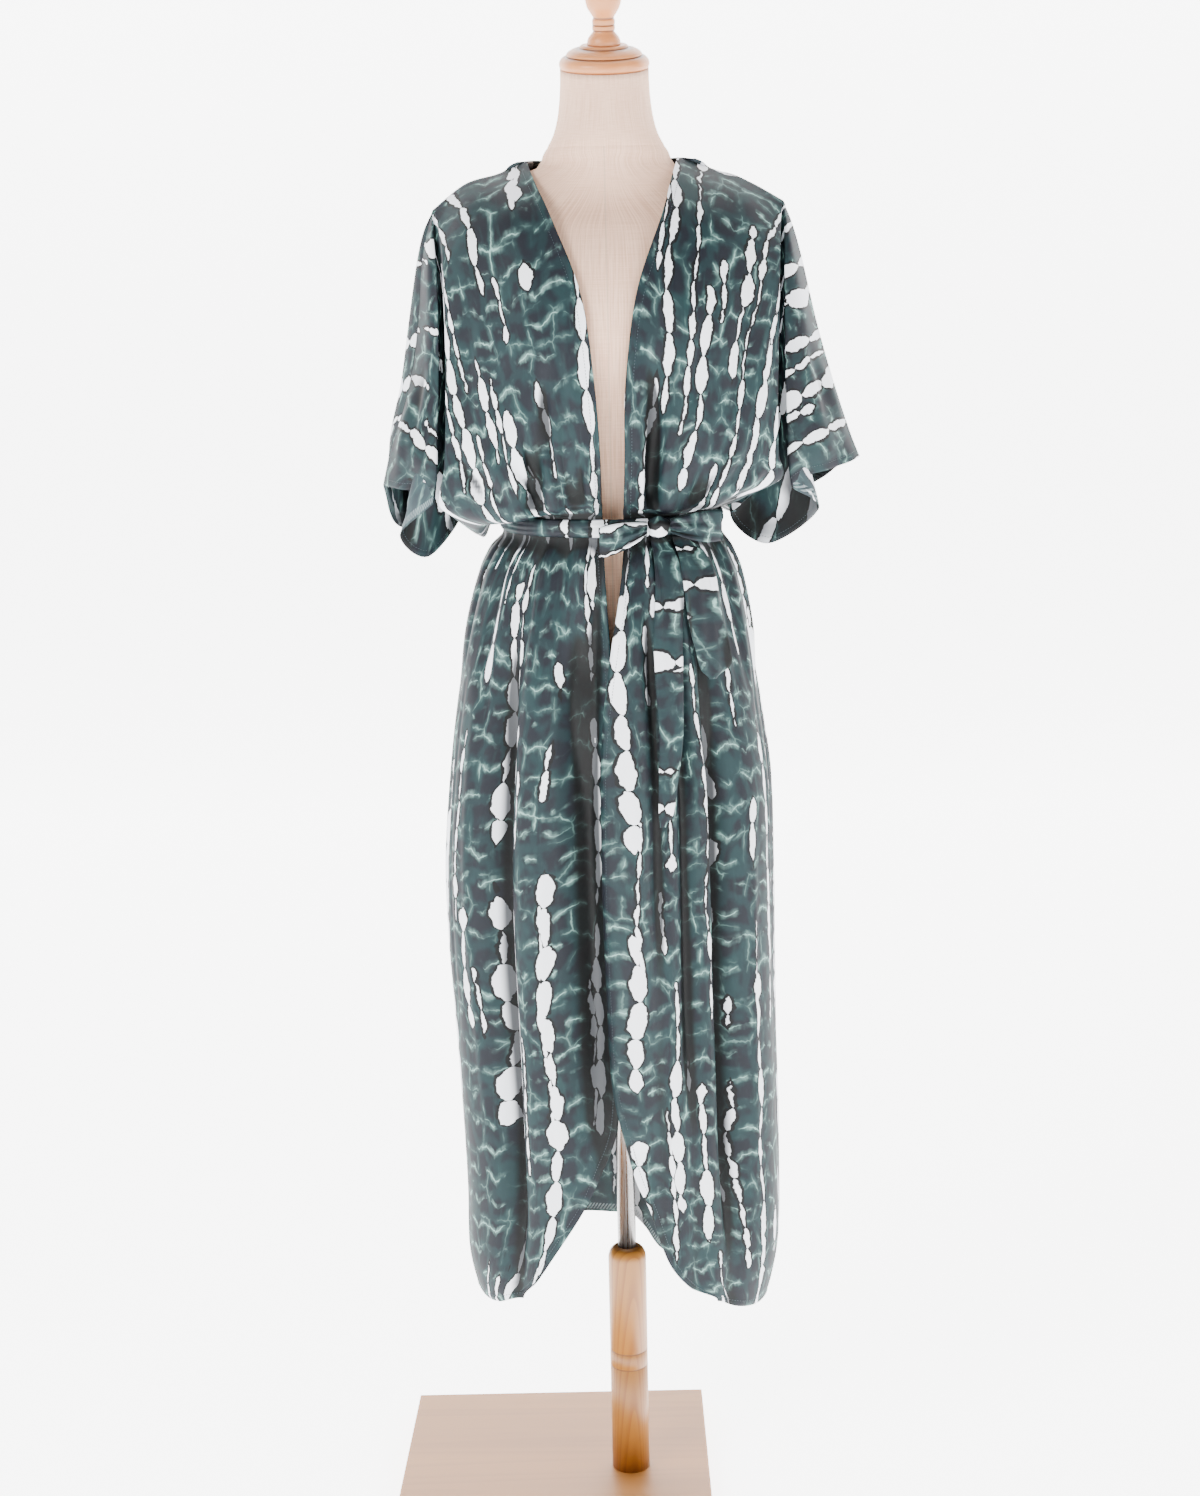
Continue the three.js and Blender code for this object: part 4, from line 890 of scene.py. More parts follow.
# %% Creases and shells
CLOTH = 0.7                            # mm, the thickness of the shell
HEM_RISE, HEM_EXTRA = 0.25, 0.5        # mm, how far the turned hem stands up, and its extra thickness
CREASE_GAIN = 1.6                      # on the depths of the creases below
GATHER_GAIN = 0.8
TOWARDS_VIEW = 0.1, 0.45               # a normal's part along Y from which a crease shows, and is full
POINTS_PER_MM = 50                     # points that round to the same place on this grid are one
FAR = 9.0                              # metres, more than any way to an edge
HEM_TURN = 0.0085                      # m, the width of the turned hem
# creases of the bodice, seen from the front or the back: x and z of both ends, half width, depth
FRONT_CREASES = (
    (-62, 1205, -47, 1075, 5, -3.2), (-84, 1150, -62, 1072, 4, -2.6), (-100, 1120, -74, 1066, 4, 2.4),
    (-44, 1165, -38, 1070, 4, -2.2), (-30, 1120, -26, 1066, 3, -2.0), (-72, 1100, -56, 1062, 3.5, 2.2),
    (-128, 1108, -96, 1068, 4.5, -2.8), (-140, 1090, -112, 1056, 4, 2.6),
    (-152, 1128, -120, 1076, 5, -2.4),
    (-92, 1215, -108, 1110, 7, -2.2), (-126, 1260, -132, 1130, 8, -2.0), (-38, 1250, -30, 1150, 6, 1.6),
    (34, 1215, 30, 1072, 5, -3.0), (52, 1180, 42, 1068, 4, 2.4), (68, 1160, 52, 1066, 4, -2.6),
    (92, 1150, 64, 1068, 4.5, 2.4), (112, 1135, 74, 1066, 5, -3.0), (132, 1120, 88, 1070, 4.5, -2.4),
    (148, 1100, 104, 1074, 4, 2.6), (20, 1130, 20, 1064, 3, -1.8), (84, 1245, 62, 1140, 7, -2.0),
    (122, 1265, 112, 1150, 8, -2.2), (142, 1225, 134, 1130, 6, 1.8), (60, 1300, 40, 1200, 7, 1.4),
    (-176, 1200, -190, 1110, 4, -2.0), (-186, 1180, -206, 1100, 3.5, 1.8),
    (-172, 1160, -182, 1096, 3, -1.6),
    (186, 1220, 210, 1130, 5, -2.2), (196, 1200, 226, 1120, 4, 1.8), (178, 1180, 190, 1100, 4, -1.8),
)
BACK_CREASES = (
    (-104, 1190, -62, 1072, 6, -3.0), (-70, 1160, -46, 1068, 5, 2.4), (-44, 1210, -32, 1070, 5, -2.8),
    (-12, 1150, -8, 1066, 4, -2.2), (14, 1180, 6, 1068, 5, -2.6), (40, 1150, 28, 1066, 4, 2.4),
    (60, 1215, 40, 1070, 5, -3.0), (86, 1150, 58, 1068, 4.5, 2.2), (114, 1170, 72, 1070, 5, -2.8),
    (-126, 1130, -84, 1070, 4.5, -2.2), (128, 1120, 92, 1072, 4, 2.2), (-90, 1290, -98, 1180, 9, -2.0),
    (84, 1300, 96, 1190, 9, -2.0), (-180, 1200, -196, 1090, 5, -2.2), (188, 1210, 212, 1110, 5, -2.2),
)


def crease_relief(points, creases):
    """Soft troughs and ridges along straight lines that fade at both ends."""
    x, z = points[:, 0], points[:, 2]
    relief = np.zeros(len(points))
    for x1, z1, x2, z2, half, depth in creases:
        dx, dz = x2 - x1, z2 - z1
        span = math.hypot(dx, dz)
        way = ((x - x1) * dx + (z - z1) * dz) / span ** 2
        bow = 0.05 * span * np.sin(np.pi * np.clip(way, 0, 1)) * np.sign(x1)
        off = ((x - x1) * dz - (z - z1) * dx) / span + bow
        relief += depth * bell(off, half) * np.sin(np.pi * np.clip(way, 0, 1)) ** 0.8
    return relief


def vertex_normals(points, quads):
    """The surface's own direction at each point."""
    normals = np.zeros_like(points)
    across_a = points[quads[:, 2]] - points[quads[:, 0]]
    across_b = points[quads[:, 3]] - points[quads[:, 1]]
    face = np.cross(across_a, across_b)
    for corner in range(4):
        np.add.at(normals, quads[:, corner], face)
    return normals / np.maximum(np.linalg.norm(normals, axis=1, keepdims=True), 1e-9)


def weld(sheets):
    """Joins sheets into one set of points (mm) and quads, with pattern places for each corner."""
    points = np.concatenate([s["at"].reshape(-1, 3) for s in sheets])
    plans = np.concatenate([s["plan"].reshape(-1, 2) for s in sheets])
    hems = np.concatenate([s["hem"].reshape(-1) for s in sheets])
    corners, start = [], 0
    for s in sheets:
        rows, columns = s["at"].shape[:2]
        ids = start + np.arange(rows * columns).reshape(rows, columns)
        a, b, c, d = ids[:-1, :-1], ids[:-1, 1:], ids[1:, 1:], ids[1:, :-1]
        order = (a, b, c, d) if s["flip"] else (a, d, c, b)
        corners.append(np.stack([k.ravel() for k in order], -1))
        start += rows * columns
    corners = np.concatenate(corners)
    _, first, owner = np.unique(np.round(points * POINTS_PER_MM).astype(int), axis=0, return_index=True,
                                return_inverse=True)
    owner = owner.ravel()
    hem = np.full(len(first), FAR)
    np.minimum.at(hem, owner, hems)
    seam = np.zeros(len(first), bool)
    np.logical_or.at(seam, owner, np.concatenate([s["seam"].reshape(-1) for s in sheets]))
    return points[first], owner[corners], plans[corners], hem, seam, owner


def open_edges(quads):
    """The directed edges that only one quad has."""
    seen = {}
    for quad in quads.tolist():
        ring = [v for i, v in enumerate(quad) if v != quad[i - 1]]
        for i, v in enumerate(ring):
            seen[(ring[i - 1], v)] = seen.get((ring[i - 1], v), 0) + 1
    return [edge for edge in seen if edge[::-1] not in seen]


def hollows(points, quads, normals, rounds=150):
    """How deep each point lies under the surface round it, in mm, by evening the mesh out."""
    ends = np.concatenate([quads[:, [i, (i + 1) % 4]] for i in range(4)])
    ends = np.concatenate([ends, ends[:, ::-1]])
    near = np.maximum(np.bincount(ends[:, 0], minlength=len(points)), 1)[:, None]
    even = points.copy()
    for _ in range(rounds):
        total = [np.bincount(ends[:, 0], even[ends[:, 1], k], len(points)) for k in range(3)]
        even += 0.5 * (np.stack(total, -1) / near - even)
    return ((even - points) * normals).sum(axis=1)


def gather_relief(points):
    """The small gathers that the belt makes in the bodice just above it, in mm."""
    waves = gathers(np.degrees(np.arctan2(points[:, 0], -points[:, 1])))
    rise = smooth(BELT_TOP, BELT_TOP + 12, points[:, 2])
    return GATHER_GAIN * waves * rise * (1 - smooth(BELT_TOP + 25, BELT_TOP + 85, points[:, 2]))


def finish_mesh(name, points, faces, uvs, materials):
    """A smooth mesh object from points in millimetres, with a UV map if there is one."""
    mesh = bpy.data.meshes.new(name)
    mesh.from_pydata((np.asarray(points) * MM).tolist(), [], faces)
    if uvs:
        layer = mesh.uv_layers.new(name="plan")
        layer.data.foreach_set("uv", np.array(uvs, np.float32).ravel())
    for material in materials:
        mesh.materials.append(material)
    mesh.shade_smooth()
    print(name, len(mesh.polygons), "faces")
    return placed(name, mesh)


def keep_values(piece, name, values):
    """Stores one value for each point of a piece, which its material reads."""
    kept = piece.data.attributes.new(name, "FLOAT", "POINT")
    kept.data.foreach_set("value", values.astype(np.float32))


def shell(name, sheets, materials, creases=(), facing=1):
    """A thin closed shell from sheets: outside, inside and rim, with the flat pattern as its UV map.

    It also returns the sheets' points where the creases have moved them to."""
    points, quads, plans, hem, on_seam, owner = weld(sheets)
    normals = vertex_normals(points, quads)
    turned_in = 1 - smooth(HEM_TURN - 0.001, HEM_TURN, hem)
    press = HEM_RISE * turned_in
    if creases:
        towards = smooth(*TOWARDS_VIEW, facing * normals[:, 1])
        bodice = smooth(BELT_TOP + 1, BELT_TOP + 12, points[:, 2])
        press += CREASE_GAIN * crease_relief(points, creases) * towards * bodice
        press += gather_relief(points)
    press[on_seam] = 0
    outer = points + normals * press[:, None]
    normals = vertex_normals(outer, quads)
    normals[on_seam, 1] = 0
    normals /= np.maximum(np.linalg.norm(normals, axis=1, keepdims=True), 1e-9)
    inner = outer - normals * (CLOTH + HEM_EXTRA * turned_in)[:, None]
    # how deep each point lies in a fold, which the cloth's material turns into painted shade
    fold_shade_depth = hollows(outer, quads, normals)
    count = len(outer)
    faces, uvs, kinds, place_of = [], [], [], {}
    for ring, places in zip(quads.tolist(), plans.tolist()):
        keep = [i for i in range(4) if ring[i] != ring[i - 1]]
        place_of.update(zip(ring, places))
        if len(keep) < 3:
            continue
        faces.append([ring[i] for i in keep])
        uvs.extend(places[i] for i in keep)
        keep.reverse()
        faces.append([ring[i] + count for i in keep])
        uvs.extend(places[i] for i in keep)
        kinds += [0, 1]
    for a, b in open_edges(quads):
        faces.append([a, a + count, b + count, b])
        uvs.extend(place_of[v] for v in (a, a, b, b))
        kinds.append(0)
    piece = finish_mesh(name, np.concatenate([outer, inner]), faces, uvs, materials)
    piece.data.polygons.foreach_set("material_index", kinds)
    keep_values(piece, "hem_distance", np.concatenate([hem, hem]))
    keep_values(piece, "hollow", np.concatenate([fold_shade_depth, -fold_shade_depth]))
    moved, start = [], 0
    for s in sheets:
        size = s["seam"].size
        moved.append(outer[owner[start:start + size]].reshape(s["at"].shape))
        start += size
    return piece, moved


print("creases", len(FRONT_CREASES), len(BACK_CREASES))

# %% [markdown]
# ## The print
# The cloth is resist dyed: it was pleated and tied before it went into the dye. Pale lines stay where
# the ties and folds kept the dye out, crossing like light on water, and strings of white beads stay
# where the pleats were bound, each with a dark rim of crowded dye. The print is drawn from the flat
# pattern, so it turns with the sleeves and dives into the folds. Each bead gets its own size from its
# column and place, and noise pulls the outlines about; no two of them are alike.

# %% Dyed viscose
STRING_PITCH = 0.050            # metres between the strings of beads
BEAD_LENGTH = 0.036
CELL = 0.030                    # the mesh of pale lines
SCALLOP, ROW_PITCH = 0.040, 0.028
ARCH = 0.008                    # how far each scallop hangs down


def maths(tree, operation, a, b=None, c=None):
    """One sum on values or links."""
    return add(tree, "ShaderNodeMath", [a, b, c], operation=operation)


def product(tree, *factors):
    """The product of several values."""
    total = factors[0]
    for factor in factors[1:]:
        total = maths(tree, "MULTIPLY", total, factor)
    return total


def between(tree, value, low, high, out_low=0.0, out_high=1.0):
    """Eased map of a value from one range to another."""
    return add(tree, "ShaderNodeMapRange", [value, low, high, out_low, out_high],
               interpolation_type="SMOOTHSTEP")


def blend(tree, factor, first, second, how="MIX"):
    """Mixes two colours."""
    return add(tree, "ShaderNodeMix", {0: factor, 6: first, 7: second}, out=2, data_type="RGBA",
               blend_type=how)


def noise(tree, at, scale, detail=2.0, stretch=None, out=0):
    """Noise at a place, with features 1 / scale metres wide, stretched if asked."""
    if stretch:
        at = add(tree, "ShaderNodeMapping", {"Vector": at, "Scale": stretch})
    return add(tree, "ShaderNodeTexNoise", {"Vector": at, "Scale": scale, "Detail": detail}, out=out)


def pulled_about(tree, at, scale, reach, detail=2.0):
    """Places moved about by noise."""
    way = add(tree, "ShaderNodeVectorMath", [noise(tree, at, scale, detail, out=1), (0.5, 0.5, 0.5)],
              operation="SUBTRACT")
    return add(tree, "ShaderNodeVectorMath", [way, reach, at], operation="MULTIPLY_ADD")


def split(tree, at):
    """The x, y and z of a place."""
    parts = tree.nodes.new("ShaderNodeSeparateXYZ")
    tree.links.new(at, parts.inputs[0])
    return parts.outputs


def bumped(tree, bsdf, height, strength, distance):
    """Gives a surface its fine relief."""
    bump = add(tree, "ShaderNodeBump", {"Strength": strength, "Distance": distance, "Height": height})
    tree.links.new(bump, bsdf.inputs["Normal"])


def bead_strings(tree, u, v, pitch, length, fullness, seed, rare):
    """The way from the edge of the nearest bead, in metres: negative inside it."""
    column = maths(tree, "DIVIDE", maths(tree, "ADD", u, seed * pitch * 7.31), pitch)
    number = maths(tree, "FLOOR", column)
    own = add(tree, "ShaderNodeTexWhiteNoise", {"W": number}, noise_dimensions="1D")
    # each string starts its beads at a place of its own
    beat = maths(tree, "ADD", maths(tree, "DIVIDE", v, length), maths(tree, "MULTIPLY", own, 9.0))
    bead = add(tree, "ShaderNodeCombineXYZ", [number, maths(tree, "FLOOR", beat), seed])
    size = add(tree, "ShaderNodeTexWhiteNoise", {"Vector": bead}, noise_dimensions="3D")
    # beads come in runs and are absent between them
    runs_at = add(tree, "ShaderNodeCombineXYZ",
                  [maths(tree, "MULTIPLY", number, 5.7), maths(tree, "MULTIPLY", v, 5.0), seed])
    absent = between(tree, noise(tree, runs_at, 1.0, 1.0), rare, rare - 0.06, 0.0, 0.03)
    # strings aren't evenly spaced
    shift = maths(tree, "MULTIPLY", maths(tree, "SUBTRACT", own, 0.5), 0.4)
    off = maths(tree, "SUBTRACT", maths(tree, "SUBTRACT", maths(tree, "FRACT", column), 0.5), shift)
    off = maths(tree, "MULTIPLY", maths(tree, "ABSOLUTE", off), pitch)
    swell = maths(tree, "SINE", maths(tree, "MULTIPLY", maths(tree, "FRACT", beat), math.pi))
    wide = maths(tree, "MULTIPLY_ADD", size, fullness * 0.85, fullness * 0.3)
    half = maths(tree, "MULTIPLY_ADD", maths(tree, "POWER", swell, 0.5), wide, -0.0008)
    return maths(tree, "ADD", maths(tree, "SUBTRACT", off, half), absent)


def pale_lines(tree, plan, about):
    """Pale lines, a loose net and scalloped rows, with the net's own distance for the ground."""
    jitter = pulled_about(tree, about, 130.0, (0.005, 0.008, 0.005))
    cells_at = add(tree, "ShaderNodeMapping", {"Vector": jitter, "Scale": (1 / CELL, 0.9 / CELL, 1.0)})
    net = add(tree, "ShaderNodeTexVoronoi", {"Vector": cells_at, "Scale": 1.0, "Randomness": 0.6},
              feature="DISTANCE_TO_EDGE", voronoi_dimensions="2D")
    u, v, _ = split(tree, jitter)
    arch = maths(tree, "ABSOLUTE", maths(tree, "SINE", maths(tree, "MULTIPLY", u, math.pi / SCALLOP)))
    lowered = maths(tree, "MULTIPLY_ADD", arch, ARCH, v)
    row = maths(tree, "SUBTRACT", maths(tree, "FRACT", maths(tree, "DIVIDE", lowered, ROW_PITCH)), 0.5)
    row = maths(tree, "ABSOLUTE", row)
    broken = between(tree, noise(tree, about, 34.0, 2.0), 0.46, 0.66)
    brushed = between(tree, noise(tree, plan, 150.0, 2.0, (1.0, 0.16, 1.0)), 0.35, 0.7, 0.25, 1.0)
    where = between(tree, noise(tree, about, 6.0, 1.0), 0.5, 0.68)
    fine_net = maths(tree, "MAXIMUM", between(tree, net, 0.05, 0.0, 0.0, 0.75),
                     product(tree, between(tree, net, 0.18, 0.0, 0.0, 0.36), brushed))
    fine_row = maths(tree, "MAXIMUM", between(tree, row, 0.045, 0.0, 0.0, 0.8),
                     product(tree, between(tree, row, 0.22, 0.0, 0.0, 0.42), brushed))
    fine_net = product(tree, fine_net, between(tree, where, 0.0, 0.7, 0.35, 1.0), broken)
    fine_row = product(tree, fine_row, between(tree, where, 1.0, 0.3, 0.35, 1.0),
                       between(tree, noise(tree, plan, 41.0, 2.0), 0.44, 0.6))
    return maths(tree, "MAXIMUM", fine_net, fine_row), net


def dyed_viscose(name, wrong_side=False):
    """Thin smooth viscose with the resist-dyed print, read from the plan map, and painted shade in its
    folds.
    """
    material, tree, bsdf = new_material(name, Roughness=0.62, Specular_IOR_Level=0.25)
    plan = add(tree, "ShaderNodeUVMap", uv_map="plan")
    about = pulled_about(tree, plan, 8.0, (0.034, 0.030, 0.034))

    # ground: dark slate in the middle of each cell, sea green where the dye ran
    line, net = pale_lines(tree, plan, about)
    cloud = noise(tree, about, 30.0, 2.0)
    deep = product(tree, between(tree, net, 0.06, 0.24, 0.35, 1.0), between(tree, cloud, 0.34, 0.52))
    ground = blend(tree, deep, colour("#10282b"), colour("#0b1019"))
    streak = noise(tree, about, 110.0, 3.0, (1.0, 0.2, 1.0))
    ground = blend(tree, between(tree, streak, 0.55, 0.85, 0.0, 0.3), ground, colour("#234845"))
    ground = blend(tree, line, ground, colour("#94bfb6"))

    # beads: strings of large ones, and a sparser set of slivers, each with a dark rim
    ragged = pulled_about(tree, about, 105.0, (0.008, 0.010, 0.008), 3.0)
    u, v, _ = split(tree, ragged)
    large = bead_strings(tree, u, v, STRING_PITCH, BEAD_LENGTH, 0.0100, 1.0, 0.50)
    small = bead_strings(tree, u, v, STRING_PITCH * 0.83, BEAD_LENGTH * 0.7, 0.0046, 2.0, 0.55)
    nearest = maths(tree, "MINIMUM", large, small)
    ground = blend(tree, between(tree, nearest, 0.0036, 0.0024), ground, colour("#020305"))
    tone = blend(tree, between(tree, nearest, 0.0004, -0.0001), ground, colour("#eceff5"))
    if wrong_side:
        # the dye shows through paler, and the seams and edges are overlocked with grey thread
        tone = blend(tree, 0.22, tone, colour("#5c6f75"))
        edge = add(tree, "ShaderNodeAttribute", attribute_name="hem_distance", out=2)
        loops = add(tree, "ShaderNodeTexWave", {"Vector": plan, "Scale": 130.0, "Distortion": 1.5},
                    bands_direction="DIAGONAL")
        thread = product(tree, between(tree, edge, 0.0095, 0.0085), between(tree, edge, 0.002, 0.003),
                         between(tree, loops, 0.3, 0.7, 0.0, 0.6))
        tone = blend(tree, thread, tone, colour("#8b9a9d"))
    # painted shade: the colour is darkened by how deep each point lies in a fold, since little light gets
    # down into the folds, and the layers behind swallow what does
    fold_shade_depth = add(tree, "ShaderNodeAttribute", attribute_name="hollow", out=2)
    tone = blend(tree, between(tree, fold_shade_depth, -0.2, 2.6, 0.0, 0.92), tone, colour("#10161a"), "MULTIPLY")
    tree.links.new(tone, bsdf.inputs["Base Color"])

    # weave: real threads are about 0.25 mm apart, too fine to show, so it is drawn three times coarser
    weave = noise(tree, plan, 1.0, 1.0, (1300.0, 1300.0, 1.0))
    bumped(tree, bsdf, weave, 0.12, 0.0004)
    return material


# The cloth's right side and its wrong side
viscose = dyed_viscose("resist dyed viscose")
viscose_inside = dyed_viscose("resist dyed viscose, wrong side", wrong_side=True)
print("print", STRING_PITCH, BEAD_LENGTH, CELL)

# %% [markdown]
# ## The dress
# The fronts and the back are sewn at the shoulders, along the tops of the sleeves and down the sides.
# Their creases are placed: rays that run up from the belt, the long fold from each shoulder
# that frames the sleeve, and small gathers under the belt.

# %% Fronts and back
front_right, right_moved = shell("dress_front_right", right_sheets, (viscose, viscose_inside),
                                 FRONT_CREASES, -1)
front_left, left_moved = shell("dress_front_left", left_sheets, (viscose, viscose_inside),
                               FRONT_CREASES, -1)
back, back_moved = shell("dress_back", back_sheets, (viscose, viscose_inside), BACK_CREASES)

# %% [markdown]
# ## Hem stitching
# The edges are turned in once and stitched 7 mm in, by machine, with a stitch every 3 mm. Lines for
# the needle are traced on the cloth, and a small node tree lays one short stitch at each step.

# %% Stitch lines
NEEDLE_IN = 7.0                 # mm from the edge


def line_inside(rows, way_in=NEEDLE_IN):
    """The points a given way in from the first point of every row of points."""
    line = []
    for row in rows:
        run = np.concatenate([[0], np.cumsum(np.linalg.norm(np.diff(row, axis=0), axis=1))])
        line.append([np.interp(way_in, run, row[:, k]) for k in range(3)])
    return np.array(line)


def needle_lines():
    """Lines along the front edges, the hem and the cuffs, inside the turned edge."""
    lines = []
    for body, sleeve, under, skirt in (right_moved, left_moved):
        edge = np.concatenate([line_inside(body[4:-1]), line_inside(skirt[:-4])])
        lines.append(edge)
        lines.append(line_inside(skirt[::-1].transpose(1, 0, 2)[3:]))
        start = under.shape[1] - 1
        lines.append(line_inside(sleeve[::-1].transpose(1, 0, 2)[start:]))
    body, skirt = back_moved[0], back_moved[1]
    lines.append(line_inside(skirt[::-1].transpose(1, 0, 2)))
    return [line[::2] for line in lines]


def stitch_tree(thread):
    """Geometry nodes that lay short stitches along the edges of a mesh."""
    tree = bpy.data.node_groups.new("machine_stitches", "GeometryNodeTree")
    tree.is_modifier = True
    face = tree.interface
    face.new_socket("Geometry", in_out="INPUT", socket_type="NodeSocketGeometry")
    pitch = face.new_socket("Pitch", in_out="INPUT", socket_type="NodeSocketFloat")
    size = face.new_socket("Stitch size", in_out="INPUT", socket_type="NodeSocketVector")
    face.new_socket("Geometry", in_out="OUTPUT", socket_type="NodeSocketGeometry")
    given = tree.nodes.new("NodeGroupInput").outputs
    line = add(tree, "GeometryNodeMeshToCurve", {"Mesh": given["Geometry"]})
    line = add(tree, "GeometryNodeResampleCurve", {"Curve": line, "Length": given["Pitch"]}, mode="LENGTH")
    along_line = add(tree, "GeometryNodeInputTangent")
    turn = add(tree, "FunctionNodeAlignRotationToVector", {"Vector": along_line}, axis="X")
    stitch = add(tree, "GeometryNodeMeshIcoSphere", {"Radius": 1.0, "Subdivisions": 1})
    laid = add(tree, "GeometryNodeInstanceOnPoints", {
        "Points": line, "Instance": stitch, "Rotation": turn, "Scale": given["Stitch size"]})
    laid = add(tree, "GeometryNodeRealizeInstances", {"Geometry": laid})
    laid = add(tree, "GeometryNodeSetMaterial", {"Geometry": laid, "Material": thread})
    finish = tree.nodes.new("NodeGroupOutput")
    tree.links.new(laid, finish.inputs["Geometry"])
    return tree, pitch.identifier, size.identifier


def sew(name, lines, thread, pitch, stitch_size):
    """A plain mesh of stitches along lines of points in millimetres."""
    points, edges = [], []
    for line in lines:
        start = len(points)
        points.extend((line * MM).tolist())
        edges.extend((start + i, start + i + 1) for i in range(len(line) - 1))
    guide = bpy.data.meshes.new(name + "_guide")
    guide.from_pydata(points, edges, [])
    holder = placed(name + "_guide", guide)
    tree, pitch_socket, size_socket = stitch_tree(thread)
    modifier = holder.modifiers.new("stitches", "NODES")
    modifier.node_group = tree
    modifier[pitch_socket] = pitch * MM
    modifier[size_socket] = [v * MM for v in stitch_size]
    evaluated = holder.evaluated_get(bpy.context.evaluated_depsgraph_get())
    mesh = bpy.data.meshes.new_from_object(evaluated)
    bpy.data.objects.remove(holder)
    mesh.name = name
    print(name, len(mesh.polygons), "faces")
    return placed(name, mesh)


# A dark thread near the colour of the dye, so that the stitches hardly show
thread, _, thread_shader = new_material("polyester thread", Roughness=0.5)
thread_shader.inputs["Base Color"].default_value = colour("#22343a")
stitches = sew("hem_stitches", needle_lines(), thread, 3.0, (1.1, 0.32, 0.32))

# %% [markdown]
# ## Belt and bow
# The belt is a long strip of the same cloth, turned to a tube and ironed flat. Tied tight, it crumples
# lengthwise. The bow has two loops, each a ribbon that goes out and comes back behind itself, and
# two tails that hang down on the skirt.

# %% Belt band
BELT_WIDTH, BELT_THICK = 17, 3
BELT_GAP, BELT_RISE = 0.7, 2
BELT_STEPS = 300
# crumples: place across the belt, width, depth, how far it wanders, turns round the waist
CRUMPLES = ((0.3, 0.07, -1.1, 0.09, 2), (0.62, 0.06, -0.9, 0.12, 3), (0.82, 0.05, -0.5, 0.05, 5))


def belt_band():
    """A ring round the waist with a soft crumpled outside."""
    up = np.linspace(0, 1, 15)
    bearing = -180 + 360 * np.arange(BELT_STEPS) / BELT_STEPS
    x, y = skirt_outline(bearing, np.full(BELT_STEPS, float(BELT_LOW)))
    turn = np.radians(bearing)[:, None]
    out = BELT_THICK * (1 - np.abs(2 * up - 1) ** 3.0)[None] * np.ones((BELT_STEPS, 1))
    for at, wide, depth, wander, turns in CRUMPLES:
        middle = at + wander * np.sin(turn * turns + 9 * at) + 0.4 * wander * np.sin(turn * 11 + 5 * at)
        pinch = 0.6 + 0.4 * np.sin(turn * (turns + 4) + 3 * at)
        out = out + depth * pinch * bell(up[None] - middle, wide)
    out = np.clip(out, 0.05, BELT_THICK)
    out[:, [0, -1]] = 0
    reach = 1 + (BELT_GAP + out) / np.hypot(x, y)[:, None]
    low = BELT_LOW + BELT_RISE + BELT_WIDTH * up[None]
    grid = np.stack(np.broadcast_arrays(x[:, None] * reach, y[:, None] * reach, low), -1)
    count = len(up)
    faces, uvs = [], []
    around = lengths(np.concatenate([grid, grid[:1]]))
    for i in range(BELT_STEPS):
        j = (i + 1) % BELT_STEPS
        for k in range(count):
            n = (k + 1) % count
            faces.append([i * count + k, j * count + k, j * count + n, i * count + n])
            near, far = around[i], around[i + 1]
            low_v, high_v = up[k] * BELT_WIDTH * MM, (up[n] if n else 1.0) * BELT_WIDTH * MM
            uvs += [(near, low_v), (far, low_v), (far, high_v), (near, high_v)]
    return finish_mesh("belt_round_waist", grid.reshape(-1, 3), faces, uvs, [viscose])


band = belt_band()

# %% Knot, loops and tails
# height, x of the tail's left and right edges
TAIL_LONG = [
    [1038, 33, 48], [1015, 35, 57], [985, 35, 61], [940, 34, 61], [888, 36, 61], [850, 38, 60],
    [815, 37, 56], [775, 36, 50], [762, 37, 43],
]

TAIL_SHORT = [
    [1038, 53, 66], [1022, 57, 80], [1000, 60, 90], [962, 65, 97], [930, 73, 103], [910, 78, 104],
    [901, 86, 92],
]

LOOPS = {
    "bow_loop_right": {"from": (31, -108, 1047), "tip": (-14, -114, 1035), "widths": (12, 29)},
    "bow_loop_left": {"from": (53, -108, 1049), "tip": (102, -97, 1047), "widths": (12, 30)},
}
LOOP_STEPS, LOOP_SWELL, LOOP_GAP = 48, 13, 6
TAIL_COLUMNS, TAIL_LIFT = 16, 4.4
KNOT = {"at": (42, -105.6, 1048), "radii": (10.5, 7, 10)}


